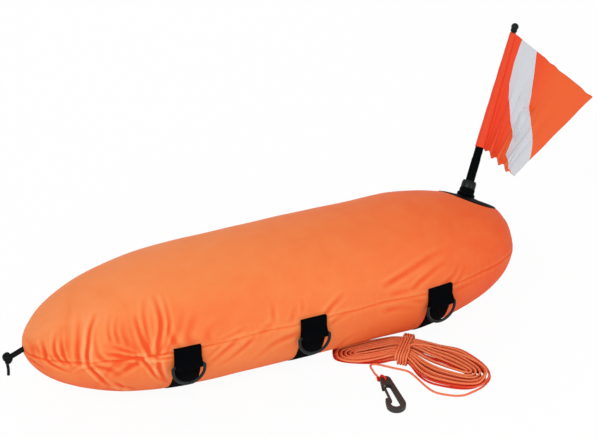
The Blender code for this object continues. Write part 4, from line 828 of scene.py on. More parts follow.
def build_cover(settings):
    fabric = coated_nylon(settings)
    long = float(STATION_LENGTH[-1])
    allowance = 0.02
    # Rows stand closer beside the seams, where the cloth is puckered, than over the middle of a panel.
    top = ((0.0, 0.04, 0.20, 0.56, 0.94, 1.0), (0.0, 0.02, 0.14, 0.78, 0.98, 1.0))
    bottom = ((0.0, 0.08, 0.50, 0.78, 0.94, 1.0), (0.0, 0.02, 0.30, 0.84, 0.98, 1.0))
    for side, start, end, rows, up in (
        ("top", BACK_SEAM - 360, FRONT_SEAM, 122, top),
        ("bottom", FRONT_SEAM, BACK_SEAM, 76, bottom),
    ):
        girth = radians(end - start) * RADIUS

        def laid(u, v):
            x = np.interp(u * long, STATION_LENGTH, STATION_X)
            angle = start + (end - start) * ramp(v, allowance, 1 - 2 * allowance)
            return x, angle, *cover_relief(x, angle, settings)

        def place(u, v):
            x, angle, relief, _ = laid(u, v)
            turned_in = np.maximum(allowance - v, v - (1 - allowance)) / allowance
            return skin(x, angle + seam_wander(x, angle), relief - np.clip(turned_in, 0, 1) * 0.004 - 0.0001)

        def fold(u, v):
            """Painted shade and painted highlight for the fabric's colour: shade in the creases, towards the
            right end, underneath and beside the seam, highlight on the crease banks and the left end.
            """
            x, angle, _, creases = laid(u, v)
            # Painted shade grows towards the right end, underneath, beside the front seam and low on the left
            # end, where less light falls; the left end gets a little painted highlight.
            along = ramp(x, -0.35, 0.75)
            beside_seam = np.exp(-(((angle - 68) / 26) ** 2)) * ramp(-x, -0.05, 0.3)
            low_end = ramp(np.abs(angle), 72, 14) * ramp(-x, 0.12, 0.2)
            lower = ramp(np.abs(angle), 70, 60)
            painted_shade = 0.85 * along**1.6 + 0.15 * lower + 0.52 * beside_seam + 0.42 * low_end
            return creases / 0.0013 + 0.18 * (1 - along) - painted_shade

        spacing = (((0.0, 0.37, 1.0), (0.0, 0.29, 1.0)), up)
        # The fold mark carries the painted shade and painted highlight of the fabric's colour.
        marks = (("fold", fold),)
        bm = formed_grid(settings.columns, rows, place, cloth=(long, girth), marks=marks, spacing=spacing)
        node = f"cover_{side}_panel"
        panel = keep(bm, f"cover_{side}_skin", fabric, "float", (node,), sharp=80)
        thicken(panel, 0.0008, -1.0)


# Webbing
def build_straps(settings):
    webbing = black_webbing(settings)
    for station, x in STRAP_STATIONS.items():
        girth = radians(STRAP_HIGH - STRAP_LOW) * RADIUS

        def lay(u, v):
            across = (v - 0.5) * 2 * STRAP_HALF
            angle = STRAP_LOW + (STRAP_HIGH - STRAP_LOW) * u
            crown = -0.0003 * np.abs(v * 2 - 1) ** 6
            return skin(x + across, angle, STRAP_MIDDLE + crown)

        bm = formed_grid(120, 12, lay, cloth=(girth, 2 * STRAP_HALF))
        strap = keep(bm, f"strap_{station}_webbing", webbing, "float", (f"strap_{station}",))
        thicken(strap, STRAP_THICKNESS)
        for side in ("front", "back"):
            build_keeper(x, station, side, webbing)


def build_keeper(x, station, side, webbing):
    """The strap's end, folded back round the ring's bar and sewn down."""
    bend = RING_WIRE_RADIUS + 0.0023
    back, front = KEEPER_BACK, KEEPER_FRONT
    path = [(0.0005, back), (KEEPER_LENGTH * 0.35, back), (KEEPER_LENGTH * 0.7, back)]
    for step in range(13):
        turn = radians(-90 + 180 * step / 12)
        path.append((KEEPER_LENGTH + bend * cos(turn), BAR_HEIGHT + bend * sin(turn)))
    path += [(KEEPER_LENGTH - 0.0048, BAR_HEIGHT + bend * 0.74), (KEEPER_LENGTH - 0.012, front + 0.0006)]
    path += [(KEEPER_LENGTH - 0.016, front), (KEEPER_LENGTH - 0.020, front), (0.0006, front)]
    route = resampled([(along, out, 0.0) for along, out in path], 0.0008)
    distance = steps_along(route)
    radius = float(float_radius(x))

    def fold(u, v):
        across = (v - 0.5) * 2 * STRAP_HALF
        along = np.interp(u * distance[-1], distance, route[:, 0])
        out = np.interp(u * distance[-1], distance, route[:, 1])
        turn = np.degrees(along / radius)
        angle = STRAP_LOW + turn if side == "front" else STRAP_HIGH - turn
        return skin(x + across, angle, STRAP_OUTER + out)

    bm = formed_grid(len(route) - 1, 12, fold, cloth=(distance[-1], 2 * STRAP_HALF))
    node = f"ring_keeper_{station}_{side}"
    keeper = keep(bm, f"{node}_webbing", webbing, "float", (node,))
    thicken(keeper, KEEPER_THICKNESS)


def bar_frame(x, side):
    """The frame of a ring's bar, with Y from the strap's end towards the keel and Z outwards."""
    turn = degrees(KEEPER_LENGTH / float(float_radius(x)))
    angle = STRAP_LOW + turn if side == "front" else STRAP_HIGH - turn
    along, away = (float(value) for value in profile_normal(np.array(x, float)))
    outward = Vector((along, -away * sin(radians(angle)), away * cos(radians(angle))))
    around = Vector((0.0, -cos(radians(angle)), -sin(radians(angle))))
    matrix = axes_at(around.cross(outward), around, outward, skin(x, angle, STRAP_OUTER + BAR_HEIGHT))
    return matrix @ Matrix.Rotation(pi if side == "back" else 0.0, 4, "Z")


def build_rings(settings):
    plastic = moulded("acetal_moulded_black", settings.ring, 0.30, shine=0.2)
    half = RING_INNER_WIDTH / 2 + RING_WIRE_RADIUS
    corner = RING_CORNER
    wire = (RING_WIRE_RADIUS * 1.06, RING_WIRE_RADIUS * 0.9)
    outline = []
    for step in range(7):
        turn = radians(90 * step / 6)
        outline.append((half - corner + corner * sin(turn), corner - corner * cos(turn), 0.0))
    for step in range(41):
        turn = pi * step / 40
        outline.append((half * cos(turn), RING_DEPTH - half + half * sin(turn), 0.0))
    outline += [(-px, py, 0.0) for px, py, _ in outline[6::-1]]
    outline += [(share * half, 0.0, 0.0) for share in (-0.6, -0.3, 0.0, 0.3, 0.6)]
    for station, x in STRAP_STATIONS.items():
        for side in ("front", "back"):
            bar = bar_frame(x, side)
            if side == "front":
                # A front ring hangs straight down.
                down = bar.to_3x3().inverted() @ Vector((0, 0, -1))
                turn = atan2(down.z, down.y)
            else:
                # A back ring leans out until it rests on the floor.
                drop = (bar.translation.z - RING_FLOOR_REST) / RING_DEPTH
                lying = bar.to_3x3().inverted() @ Vector((0.0, sqrt(1 - drop * drop), -drop))
                turn = atan2(lying.z, lying.y)
            matrix = bar @ Matrix.Rotation(turn, 4, "X")
            bm = tube(outline, *wire, sides=14, closed=True, up=(0, 0, 1))
            body = f"ring_{station}_{side}"
            keep(bm, f"d_{body}_moulding", plastic, body, (f"d_{body}",), at=matrix)


# Mast
def base_skin(reach, turn, out):
    """Points of the cover at a distance and bearing from the mast's foot."""
    away = float(profile_normal(np.array(MAST_BASE_X))[1])
    x = MAST_BASE_X + reach * np.cos(turn) * away
    angle = MAST_ANGLE - np.degrees(reach * np.sin(turn) / float_radius(x))
    return skin(x, angle, out)


def build_mast_base(settings):
    rubber = moulded("rubber_moulded_black", settings.rubber, 0.42, shine=0.015)
    seat = BASE_SEAT_RADIUS
    hole = 0.004
    gap = 0.0006
    rim_height = 0.001
    # The grid's rows run over the top as far as the rim, round its edge and back along the underside.
    rim = 0.56
    underside = 0.6

    def mould(u, v):
        turn = 2 * pi * u
        over = v < underside
        beneath = BASE_RADIUS - (BASE_RADIUS - hole) * (v - underside) / (1 - underside)
        reach = np.where(over, hole + (BASE_RADIUS - hole) * ramp(v, 0, rim), beneath)
        lying = base_skin(reach, turn, gap)
        seat_edge = base_skin(np.full_like(reach, seat), turn, gap)
        lift = BASE_SEAT_HEIGHT - (seat_edge - MAST_FOOT) @ MAST_UP
        flat = BASE_SEAT_HEIGHT - (lying - MAST_FOOT) @ MAST_UP
        fade = ramp(-reach, -BASE_RADIUS, BASE_RADIUS - seat) ** 4
        rise = np.where(reach > seat, rim_height + (lift - rim_height) * fade, flat)
        rib = 0.0005 * np.exp(-(((reach - 0.0215) / 0.0012) ** 2))
        lip = ramp(v, rim, underside - rim)
        rise = (rise + rib) * np.sqrt(1 - np.where(over, lip, 0) ** 2)
        return lying + MAST_UP * np.where(over, rise, 0.0)[:, None]

    bm = formed_grid(96, 50, mould, joined=True)
    bmesh.ops.remove_doubles(bm, verts=bm.verts, dist=2e-6)
    inner = [edge for edge in bm.edges if edge.is_boundary]
    if inner:
        bmesh.ops.bridge_loops(bm, edges=inner)
    keep(bm, "mast_base_moulding", rubber, "float", ("mast_base",))


def build_mast(settings):
    rubber = moulded("rubber_grip_black", settings.rubber, 0.40, shine=0.015)
    plastic = moulded("nylon_moulded_black", settings.plastic, 0.24, shine=0.16)
    at = mast_frame()
    seat = BASE_SEAT_HEIGHT + MAST_GAP
    flange = seat + 0.0045
    shoulder = seat + 0.013
    neck_top = seat + 0.0245
    floor = seat + 0.0085
    bore, neck = SOCKET_BORE, SOCKET_NECK
    socket = [(0.0, seat), (SOCKET_FLANGE, seat), (SOCKET_FLANGE, flange), (SOCKET_SHOULDER, flange + 0.001)]
    socket += [(SOCKET_SHOULDER, shoulder), (neck, shoulder), (neck, neck_top)]
    socket += [(bore, neck_top), (bore, floor), (0.0, floor)]
    foot = floor + MAST_GAP
    rod_seat = ROD_FOOT - MAST_GAP
    grip = [(0.0, foot), (GRIP_RADIUS, foot), (GRIP_RADIUS, GRIP_SHOULDER)]
    grip += [(GRIP_NECK, GRIP_SHOULDER + 0.0008), (GRIP_NECK, GRIP_TOP), (GRIP_BORE, GRIP_TOP)]
    grip += [(GRIP_BORE, rod_seat), (0.0, rod_seat)]
    rod = [(0.0, ROD_FOOT), (ROD_RADIUS, ROD_FOOT), (ROD_RADIUS, ROD_TOP), (0.0, ROD_TOP)]
    ball = [(0.0, ROD_TOP + MAST_GAP), (GRIP_BORE, ROD_TOP + MAST_GAP), (GRIP_BORE, BALL_NECK)]
    ball += [(0.0058, BALL_NECK), (0.0056, BALL_NECK + 0.004)]
    for step in range(1, 12):
        turn = radians(-48 + 138 * step / 12)
        ball.append((BALL_RADIUS * cos(turn), BALL_HEIGHT + BALL_RADIUS * sin(turn)))
    ball.append((0.0, BALL_HEIGHT + BALL_RADIUS))
    for name, node, profile, material, body, slot in (
        ("mast_socket_moulding", "mast_socket", rounded(socket, 0.0012), rubber, "float", "black_rubber"),
        ("mast_grip_tube", "mast_grip", rounded(grip, 0.0008), rubber, "mast", "black_rubber"),
        ("mast_rod_tube", "mast_rod", rounded(rod, 0.0006), plastic, "mast", "black_acetal"),
        ("mast_ball_knob", "mast_ball", ball, plastic, "mast", "black_acetal"),
    ):
        keep(spun(profile), name, material, body, (node,), sharp=35, at=at)

    fit = neck + MAST_GAP
    low = shoulder + MAST_GAP
    lip = neck_top + MAST_GAP
    top = lip + 0.0022
    collar = [(fit, low), (COLLAR_RADIUS, low), (COLLAR_RADIUS, lip - 0.002), (COLLAR_LIP_RADIUS, top)]
    collar += [(bore, top), (bore, lip), (fit, lip)]
    bm = spun(rounded(collar, 0.0007, 3), steps=12 * settings.flutes)
    for vert in bm.verts:
        reach = vert.co.xy.length
        if reach > COLLAR_RADIUS - 0.0007 and low + 0.0012 < vert.co.z < lip - 0.0018:
            turn = atan2(vert.co.y, vert.co.x)
            press = 0.0006 * max(0.0, cos(turn * settings.flutes)) ** 2
            vert.co.xy *= (reach - press) / reach
    keep(bm, "socket_collar_nut", plastic, "float", ("socket_collar",), sharp=35, at=at)


# Flag
def fold_shape(share):
    """The folds across one level, as parts of their depth: how far each stands out, and how far it leans."""
    gather = ramp(share, 0, 0.10) * ramp(-share, -FOLDED_SHARE, 0.22) ** 0.6
    turn = 2 * pi * FLAG_FOLDS * share / FOLDED_SHARE
    return gather * np.sin(turn), gather * np.sin(2 * turn)


def folded_level(level):
    """Points across one level of the flag as (along its chord, out of it), and the cloth's share up to each."""
    height = FLAG_BOTTOM + FLAG_HOIST * level
    hoist = np.array([sleeve_inner(height) + 0.0005, height])
    fly = np.array(FLAG_LOW_CORNER) * (1 - level) + np.array(FLAG_TOP_CORNER) * level
    chord = np.linalg.norm(fly - hoist)
    share = np.linspace(0, 1, 601)
    out, lean = fold_shape(share)
    # The cloth eases from deep folds along its foot to a pull between its top corner and its fly.
    taken_up = chord + (FLAG_FLY - chord) * (1 - level) ** 1.8
    low, high = 0.0, 0.03
    for _ in range(30):
        depth = (low + high) / 2
        path = np.stack([share * chord + 0.8 * depth * lean, depth * out], axis=1)
        cloth = steps_along(path)
        low, high = (depth, high) if cloth[-1] < taken_up else (low, depth)
    return hoist, fly, path / (chord, 1), cloth / cloth[-1]


def sleeve_inner(height):
    """The sleeve's inner radius, which narrows from the grip to the thinner rod's top."""
    low, high = SLEEVE_RADII
    return low + (high - low) * ramp(height, GRIP_TOP, SLEEVE_TAPER)


def flag_layout(u, v):
    """The flag's cloth as (share of the chord, out of it) for u along its fly and v up its hoist."""
    place = np.zeros((len(u), 3))
    spread = np.zeros((len(u), 2))
    rows = np.round(v, 6)
    for level in np.unique(rows):
        row = rows == level
        hoist, fly, path, cloth = folded_level(level)
        along = np.interp(u[row], cloth, path[:, 0])
        out = np.interp(u[row], cloth, path[:, 1])
        place[row, 0] = hoist[0] + (fly[0] - hoist[0]) * along
        place[row, 2] = hoist[1] + (fly[1] - hoist[1]) * along
        place[row, 1] = out
        spread[row, 0] = along
        spread[row, 1] = level
    return place, spread


def flag_surface(u, v):
    """The flag's cloth in the mast's frame, with the crease across its white stripe."""
    place, spread = flag_layout(u, v)
    crease = resampled([(share, level, 0.0) for share, level in STRIPE_CREASE], 0.01)[:, :2]
    gap = np.linalg.norm(spread[:, None] - crease[None], axis=2).min(axis=1)
    place[:, 1] += 0.0055 * np.exp(-((gap / 0.030) ** 1.4)) * np.clip(u * 8, 0, 1)
    edge = np.clip(v - 0.9, 0, 1) + np.clip(u - 0.94, 0, 1)
    place[:, 2] += 0.008 * edge * np.sin(u * 27 + 2 * np.sin(u * 13)) * np.clip(u * 4, 0, 1)
    place[:, 0] += 0.006 * edge * np.sin(v * 19 + 1)
    # The foot's folds slide down over each other, so that its hem steps.
    teeth = np.sin(2 * pi * FLAG_FOLDS * spread[:, 0] / FOLDED_SHARE + 0.9) * ramp(spread[:, 0], 0, 0.12)
    place[:, 2] -= 0.0035 * teeth * np.exp(-v / 0.05) * ramp(-spread[:, 0], -0.9, 0.1)
    return place


def stripe_depth(u, v):
    """How far a point of the flag is inside its white stripe, in shares of the chord."""
    spread = flag_layout(u, v)[1]
    left = np.interp(spread[:, 1], *zip(*STRIPE_LEFT))
    right = np.interp(spread[:, 1], *zip(*STRIPE_RIGHT))
    return np.minimum(spread[:, 0] - left, right - spread[:, 0])


# Painted light: how far towards the fly the flag's red is painted brighter for light shining through it.
def lit_through_share(u, v):
    return ramp(flag_layout(u, v)[1][:, 0], 0.25, 0.35)


def build_flag(settings):
    cloth = flag_cloth(settings)
    at = mast_frame() @ Matrix.Rotation(radians(FLAG_BEARING), 4, "Z")
    marks = (("stripe", stripe_depth), ("lit_through", lit_through_share))
    bm = formed_grid(180, 130, flag_surface, cloth=(FLAG_FLY, FLAG_HOIST), marks=marks)
    flag = keep(bm, "flag_sheet", cloth, "flag", ("flag_cloth",), sharp=80, at=at)
    thicken(flag, FLAG_THICKNESS)

    def wrap(u, v):
        height = FLAG_BOTTOM + FLAG_HOIST * v
        turn = 2 * pi * u
        reach = sleeve_inner(height) + 0.0004 + 0.0002 * np.sin(turn * 5 + height * 160) * np.sin(v * pi)
        return np.stack([reach * np.cos(turn), reach * np.sin(turn), height], axis=1)

    # The sleeve has no stripe and none of the painted light of the fly.
    marks = (("stripe", lambda u, v: u * 0 - 1), ("lit_through", lambda u, v: u * 0))
    bm = formed_grid(48, 80, wrap, cloth=(0.02, FLAG_HOIST), joined=True, marks=marks)
    sleeve = keep(bm, "flag_sleeve_sheet", cloth, "flag", ("flag_sleeve",), sharp=80, at=at)
    thicken(sleeve, FLAG_THICKNESS)


# Drawcord
def build_drawcord():
    braid = braided("polyester_cord_black", map(linear, ("#080d0e", "#0e1415", "#020303")), 0.0034, 0.62)
    knot = Vector(DRAWCORD_KNOT)
    mouth = Vector((LEFT_TIP_X, 0.0, AXIS_HEIGHT))
    towards = (mouth - knot).normalized()
    start = knot + towards * 0.0030
    half = DRAWCORD_HALF_GAP
    side = Vector((0.0, half, 0.0))
    route = [start.lerp(mouth, share) - side for share in (0.0, 0.35, 0.7, 1.0)]
    for step in range(7):
        turn = pi * step / 6
        route.append(Vector((DRAWCORD_BEND_X + half * sin(turn), -half * cos(turn), AXIS_HEIGHT)))
    route += [start.lerp(mouth, share) + side for share in (1.0, 0.7, 0.35, 0.0)]
    route = resampled(route, DRAWCORD_STEP)
    bm = tube(route, 0.0026, 0.0028, sides=12)
    cord = keep(bm, "drawcord_loop", braid, "float", ("drawcord",))
    across = Vector((0, 1, 0))
    turns = overhand(knot, (across, towards.cross(across), -towards), (0.0031, 0.0029, 0.0038), 1.35, 96)
    bm = tube(turns, 0.0034, sides=12, closed=True)
    tied = keep(bm, "drawcord_overhand_knot", braid, "float", ("drawcord_knot",))
    hanging = ((0.0, 0.0, -0.0060), (-0.0008, 0.0004, -0.0120), (-0.0002, 0.0, -0.0200))
    hanging += ((-0.0006, -0.0003, -0.0270), (-0.0010, 0.0, -0.0328))
    bm = tube(resampled([knot + Vector(point) for point in hanging], DRAWCORD_STEP), 0.0025, sides=12)
    tail = keep(bm, "drawcord_tail_end", braid, "float", ("drawcord_tail",))


# Float line
def hank_height(level):
    return LINE_DIAMETER / 2 + 0.0002 + level * LAYER_PITCH


def eased(share):
    """A share from 0 to 1 that starts and ends gently."""
    share = min(1.0, max(0.0, share))
    return share * share * (3 - 2 * share)


def hank_setback(height, along):
    """How far the float's side holds the left lobe's upper layers out in front of its lowest."""
    reach = RADIUS + LINE_DIAMETER / 2 + 0.0008
    nearest = sqrt(max(0.0, reach**2 - (AXIS_HEIGHT - height) ** 2))
    return max(0.0, nearest - SETBACK_CLEAR) * eased((-along - SETBACK_START) / SETBACK_LENGTH)


def hank_centre(along):
    """A point and the sideways direction of the hank's own centre line, bent at its waist."""
    left, right = (radians(bearing) for bearing in LOBE_BEARINGS)
    reach = HANK_BEND_LENGTH / 2
    ahead = reach * (np.log1p(np.exp(min(along / reach, 60))) - np.log(2))
    leftward, rightward = (Vector((cos(bearing), sin(bearing))) for bearing in (left, right))
    point = Vector(WAIST) + rightward * ahead + leftward * (along - ahead)
    bearing = left + (right - left) * (0.5 + 0.5 * np.tanh(along / HANK_BEND_LENGTH))
    return point, Vector((-sin(bearing), cos(bearing)))


def hank_point(inward, turn, level, loose=0.0):
    """A point of the hank: inward counts loops from the outermost, turn goes once round a loop."""
    lobe_side = int(cos(turn) > 0)
    loops_inside = LOOPS_PER_LAYER - inward
    along = (LOBE_LENGTHS[lobe_side] - inward * LOOP_SHORTENING) * cos(turn)
    lobe = LOBE_INNER_HALVES[lobe_side] + loops_inside * LOBE_STEPS[lobe_side]
    waist = WAIST_INNER_HALF + loops_inside * WAIST_STEP
    swell = eased(abs(along) / LOBE_SWELL_LENGTH)
    # In the right lobe a layer's loops lie between those of the layer below.
    between = float(np.interp(level, range(LAYERS), LAYER_SHIFTS)) - 0.75 * inward / LOOPS_PER_LAYER
    between *= LOBE_STEPS[lobe_side] * lobe_side
    width = waist + (lobe - waist) * swell + loose * (0.15 + 0.85 * swell)
    width = max(width - between * swell, 0.0028)
    # A narrow loop turns back within its last few millimetres, as two strands that lie side by side have to.
    bulge = squarish(sin(turn), LOBE_SQUARENESS[lobe_side] * min(1.0, width / 0.012) ** 0.6)
    point, across = hank_centre(along)
    point = point + across * width * bulge
    height = hank_height(level)
    lift = WAIST_LIFT * np.exp(-((along / WAIST_LIFT_LENGTH) ** 4))
    return Vector((point.x, point.y - hank_setback(height, along), height + lift))


def hank_loops(start, per_loop=48):
    """The hank's loops, which spiral in and out layer by layer, some of them a little looser than others."""
    hank = []
    for index in range(LAYERS * LOOPS_PER_LAYER * per_loop + 1):
        loops = index / per_loop
        phase = loops % (2 * LOOPS_PER_LAYER)
        inward = min(phase, 2 * LOOPS_PER_LAYER - phase)
        reversal = min(LAYERS - 1, max(1, round(loops / LOOPS_PER_LAYER)))
        climb = min(0.5, max(-0.5, 2 * (loops - reversal * LOOPS_PER_LAYER)))
        loose = 0.0013 * sin(2 * pi * 0.37 * loops) + 0.0008 * sin(2 * pi * 1.37 * loops + 1)
        hank.append(hank_point(inward, start + 2 * pi * loops, reversal - 0.5 + climb, loose))
    return hank


def tie_turns(per_turn=40):
    """The turns that draw the hank together at its waist."""
    across = hank_centre(0.0)[1]
    half_width = WAIST_INNER_HALF + LOOPS_PER_LAYER * WAIST_STEP + LINE_DIAMETER + TIE_SIDE_ROOM
    top = hank_height(LAYERS - 1) + WAIST_LIFT + LINE_DIAMETER + TIE_TOP_ROOM
    tie = []
    steps = int(TIE_TURNS * per_turn)
    for index in range(steps + 1):
        turn = pi / 2 + 2 * pi * index / per_turn
        place = hank_centre((0.5 - index / steps) * TIE_WIDTH)[0]
        place = place + across * squarish(cos(turn), TIE_SQUARENESS) * half_width
        upwards = squarish(sin(turn), TIE_SQUARENESS) * (top - TIE_BOTTOM) / 2
        tie.append(Vector((place.x, place.y, (top + TIE_BOTTOM) / 2 + upwards)))
    return tie


def line_route():
    """The float line from the tucked end of its tie, round the tie and the hank and on to its knot."""
    start = radians(HANK_START)
    hank = hank_loops(start)
    crossing = []
    for step in range(1, 14):
        share = step / 14
        turn = start + 2 * pi * (LAYERS * LOOPS_PER_LAYER + CROSSING_TURNS * share)
        level = LAYERS - 1 + min(1.0, share * 4) * 0.95
        crossing.append(hank_point(CROSSING_LOOPS * share, turn, level))
    winding = resampled([*hank, *crossing, *tie_turns()], LINE_STEP)
    for _ in range(3):
        winding[1:-1] = (winding[:-2] + 2 * winding[1:-1] + winding[2:]) / 4
    leave = (hank[0] - hank[1]).normalized()
    tail = [Vector((x, y, FLOOR_LINE * 1000)) / 1000 for x, y in TAIL_ON_FLOOR]
    tail += [Vector(point) / 1000 for point in TAIL_TO_HOOK]
    free = resampled([hank[0], hank[0] + leave * 0.0039, *tail], LINE_STEP)
    return np.vstack([winding[::-1], free[1:]])


def build_line(settings):
    rope = braided("polyester_line_orange", (settings.shaded_tone, settings.lit_tone, settings.deep_shade), 0.0052, 0.55)
    route = line_route()

    def lit_share(u, v):
        """Painted light and shade: how much light the line's colour is given, least under the hank, most on its
        top and along the free end.
        """
        height = np.interp(u, np.linspace(0, 1, len(route)), route[:, 2])
        return np.maximum((height - 0.004) / 0.014, ramp(u, 0.97, 0.01) * 0.7)

    bm = tube(route, settings.diameter / 2, sides=8, marks=(("lit_share", lit_share),))
    line = keep(bm, "float_line", rope, "float", ("line_hank", "line_tie", "line_tail"))
    knot = build_line_knot(rope)


def hook_frame():
    """A matrix at the hook's eye: X along the hook to its bend, Y to its spine."""
    bearing = radians(HOOK_BEARING)
    drop = (HOOK_EYE[2] - HOOK_BEND_HEIGHT) / HOOK_BEND_REACH
    along = Vector((cos(bearing), sin(bearing), -drop)).normalized()
    spine = Vector((-sin(bearing), cos(bearing), 0.0))
    return axes_at(along, spine, along.cross(spine), HOOK_EYE)


def build_line_knot(rope):
    """The line's loop through the hook's eye, and the knot that closes it."""
    at = hook_frame()
    bearing = radians(HOOK_KNOT_BEARING - HOOK_BEARING)
    radial = at.to_3x3() @ Vector((cos(bearing), sin(bearing), 0.0))
    upward = at.to_3x3() @ Vector((0, 0, 1))
    clear = LINE_DIAMETER / 2 + 0.0006
    outer = (HOOK_EYE_WALL + clear) / 2
    centre = at.translation + radial * outer
    loop = []
    for step in range(64):
        turn = 2 * pi * step / 64
        reach = radial * outer * squarish(cos(turn), 0.6)
        loop.append(centre + reach + upward * (HOOK_HALF_HEIGHT + clear) * squarish(sin(turn), 0.6))
    bm = tube(loop, LINE_DIAMETER / 2, sides=10, closed=True)
    knot = at.translation + radial * (HOOK_EYE_WALL + 0.0052) - upward * 0.0035
    turns = overhand(knot, (radial.cross(upward), upward, radial), (0.0020, 0.0018, 0.0020), 1.5, 72)
    knotted = tube(turns, LINE_DIAMETER / 2 * 0.9, sides=10, closed=True)
    mesh = bpy.data.meshes.new("turns")
    knotted.to_mesh(mesh)
    knotted.free()
    bm.from_mesh(mesh)
    bpy.data.meshes.remove(mesh)
    return keep(bm, "line_end_knot", rope, "float", ("line_knot",))


def build_fittings(settings):
    """Materials of the frame's own nodes: the hook, the valve and what the cover holds."""
    acetal = moulded("acetal_hook_grey", linear("#2f2c2a"), 0.42, 0.0009, 0.00012, 1.5, 0.3)
    finishes = (
        (acetal, ("hook_body", "hook_gate")),
        (moulded("steel_pin", linear("#9a9a9a"), 0.3), ("hook_gate_pin",)),
        (moulded("valve_plastic_black", settings.ring, 0.35), ("valve_body", "valve_cap")),
        (moulded("pvc_film_grey", linear("#9fa1a4"), 0.35, 0.002), ("bladder",)),
        (moulded("cast_lead_grey", linear("#6a6c70"), 0.6, 0.001), ("keel_weight",)),
        (moulded("nylon_tape_orange", linear("#e0602f"), 0.7), ("seam_tape_front", "seam_tape_back")),
    )
    for material, names in finishes:
        for name in names:
            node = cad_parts[name]
            for place in node.material_slots:
                place.material = material


# Stage
def build_stage(settings):
    scene = bpy.context.scene
    scene.view_settings.view_transform = "Standard"
    paper, tree, shader = new_material("stage_paper", 0.9, 0.0)
    plug(shader, {"Base Color": (*settings.floor, 1)})
    # The camera sees the floor almost at full white, and its shadows only faintly.
    path = add_node(tree, "LightPath")
    white = add_node(tree, "Emission", {"Color": (1, 1, 1, 1), "Strength": 1.0})
    share = add_node(tree, "Math", {0: path.outputs["Is Camera Ray"], 1: 0.95}, operation="MULTIPLY")
    mixed = add_node(tree, "MixShader", {0: share, 1: shader, 2: white})
    plug(next(node for node in tree.nodes if node.type == "OUTPUT_MATERIAL"), {"Surface": mixed})
    bm = bmesh.new()
    bmesh.ops.create_grid(bm, x_segments=2, y_segments=2, size=6.0)
    add_object("stage_floor", bm, paper)

    world = bpy.data.worlds.new("studio")
    world.use_nodes = True
    scene.world = world
    tree = world.node_tree
    path = add_node(tree, "LightPath")
    seen = {0: path.outputs["Is Camera Ray"], 1: path.outputs["Is Glossy Ray"]}
    seen = add_node(tree, "Math", seen, operation="MAXIMUM")
    strength = add_node(tree, "MapRange", {"To Min": 0.65, "To Max": 1.0, "Value": seen})
    plug(tree.nodes["Background"], {"Color": (1, 1, 1, 1), "Strength": strength})

    for name, position, size, share in (
        ("key", (-1.6, -1.5, 2.2), 1.2, 1.0),
        ("fill", (0.9, -2.2, 0.6), 1.4, 0.36),
        ("rim", (0.4, 2.0, 1.6), 1.2, 0.2),
    ):
        light = bpy.data.lights.new(name, "AREA")
        light.shape = "DISK"
        light.size = size
        light.energy = settings.lamp * share
        lamp = bpy.data.objects.new(name, light)
        lamp.location = position
        lamp.rotation_euler = (Vector((0, 0, 0.1)) - Vector(position)).to_track_quat("-Z", "Y").to_euler()
        scene.collection.objects.link(lamp)

    azimuth = radians(CAMERA_AZIMUTH)
    elevation = radians(CAMERA_ELEVATION)
    back = Vector((-sin(azimuth) * cos(elevation), -cos(azimuth) * cos(elevation), sin(elevation)))
    right = Vector((cos(azimuth), -sin(azimuth), 0.0))
    up = back.cross(right)
    lens = bpy.data.cameras.new("camera")
    lens.lens = CAMERA_LENS
    lens.sensor_width = 36
    lens.clip_end = 50
    camera = bpy.data.objects.new("camera", lens)
    place = Vector(CAMERA_TARGET) + back * CAMERA_DISTANCE + right * CAMERA_SHIFT[0] + up * CAMERA_SHIFT[1]
    camera.matrix_world = axes_at(right, up, back, place)
    scene.collection.objects.link(camera)
    scene.camera = camera


# Add-on
class DIVEFLOAT_OT_cover(bpy.types.Operator):
    """Build the two sewn panels of the cover"""

    bl_idname = "divefloat.cover"
    bl_label = "Cover"

    def execute(self, context):
        build_cover(context.scene.divefloat_cover)
        return {"FINISHED"}


class DIVEFLOAT_OT_straps(bpy.types.Operator):
    """Build the three straps and the folded keepers on their ends"""

    bl_idname = "divefloat.straps"
    bl_label = "Straps"

    def execute(self, context):
        build_straps(context.scene.divefloat_webbing)
        return {"FINISHED"}


class DIVEFLOAT_OT_rings(bpy.types.Operator):
    """Build the six moulded D-rings"""

    bl_idname = "divefloat.rings"
    bl_label = "Rings"

    def execute(self, context):
        build_rings(context.scene.divefloat_webbing)
        return {"FINISHED"}


class DIVEFLOAT_OT_mast(bpy.types.Operator):
    """Build the mast with its base, socket and collar"""

    bl_idname = "divefloat.mast"
    bl_label = "Mast"

    def execute(self, context):
        build_mast_base(context.scene.divefloat_mast)
        build_mast(context.scene.divefloat_mast)
        return {"FINISHED"}


class DIVEFLOAT_OT_flag(bpy.types.Operator):
    """Build the flag and its sleeve"""

    bl_idname = "divefloat.flag"
    bl_label = "Flag"

    def execute(self, context):
        build_flag(context.scene.divefloat_flag)
        return {"FINISHED"}


class DIVEFLOAT_OT_drawcord(bpy.types.Operator):
    """Build the drawcord, its knot and its loose end"""

    bl_idname = "divefloat.drawcord"
    bl_label = "Drawcord"

    def execute(self, context):
        build_drawcord()
        return {"FINISHED"}


class DIVEFLOAT_OT_line(bpy.types.Operator):
    """Build the float line with its hank, tie and knot"""

    bl_idname = "divefloat.line"
    bl_label = "Float line"

    def execute(self, context):
        build_line(context.scene.divefloat_line)
        return {"FINISHED"}


class DIVEFLOAT_OT_fittings(bpy.types.Operator):
    """Give the hook, the valve and the inner pieces their materials"""

    bl_idname = "divefloat.fittings"
    bl_label = "Fittings"

    def execute(self, context):
        build_fittings(context.scene.divefloat_webbing)
        return {"FINISHED"}


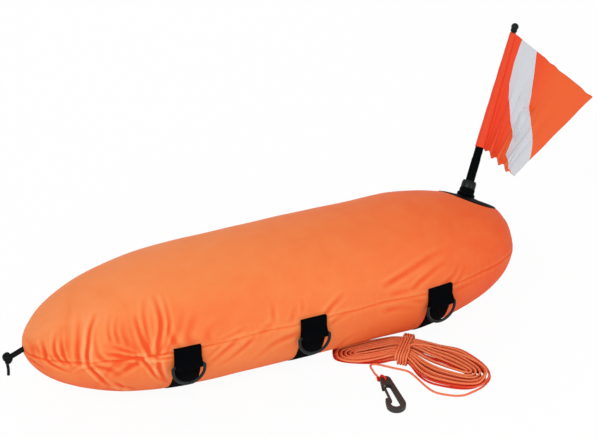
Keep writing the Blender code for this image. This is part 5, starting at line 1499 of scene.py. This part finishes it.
class DIVEFLOAT_OT_stage(bpy.types.Operator):
    """Build the floor, the lamps and the camera"""

    bl_idname = "divefloat.stage"
    bl_label = "Stage"

    def execute(self, context):
        build_stage(context.scene.divefloat_stage)
        return {"FINISHED"}


class DIVEFLOAT_PT_dress(bpy.types.Panel):
    """Lists the pieces of the dive float"""

    bl_idname = "DIVEFLOAT_PT_dress"
    bl_label = "Dive Float"
    bl_space_type = "VIEW_3D"
    bl_region_type = "UI"
    bl_category = "Dive Float"

    def draw(self, context):
        for operator in OPERATORS:
            self.layout.operator(operator.bl_idname)
        for name, group in SETTINGS.items():
            box = self.layout.box()
            box.label(text=group.__name__.replace("Settings", ""))
            for key in group.__annotations__:
                box.prop(getattr(context.scene, name), key)


OPERATORS = (
    DIVEFLOAT_OT_stage,
    DIVEFLOAT_OT_line,
    DIVEFLOAT_OT_drawcord,
    DIVEFLOAT_OT_cover,
    DIVEFLOAT_OT_straps,
    DIVEFLOAT_OT_rings,
    DIVEFLOAT_OT_mast,
    DIVEFLOAT_OT_flag,
    DIVEFLOAT_OT_fittings,
)
SETTINGS = {
    "divefloat_cover": CoverSettings,
    "divefloat_webbing": WebbingSettings,
    "divefloat_mast": MastSettings,
    "divefloat_flag": FlagSettings,
    "divefloat_line": LineSettings,
    "divefloat_stage": StageSettings,
}


def register():
    for group in SETTINGS.values():
        bpy.utils.register_class(group)
    for operator in OPERATORS:
        bpy.utils.register_class(operator)
    bpy.utils.register_class(DIVEFLOAT_PT_dress)
    for name, group in SETTINGS.items():
        setattr(bpy.types.Scene, name, PointerProperty(type=group))


def unregister():
    for name in SETTINGS:
        delattr(bpy.types.Scene, name)
    bpy.utils.unregister_class(DIVEFLOAT_PT_dress)
    for operator in reversed(OPERATORS):
        bpy.utils.unregister_class(operator)
    for group in reversed(SETTINGS.values()):
        bpy.utils.unregister_class(group)


def main():
    register()
    bpy.ops.divefloat.stage()
    bpy.ops.divefloat.line()
    bpy.ops.divefloat.drawcord()
    bpy.ops.divefloat.cover()
    bpy.ops.divefloat.straps()
    bpy.ops.divefloat.rings()
    bpy.ops.divefloat.mast()
    bpy.ops.divefloat.flag()
    bpy.ops.divefloat.fittings()


if __name__ == "__main__":
    main()
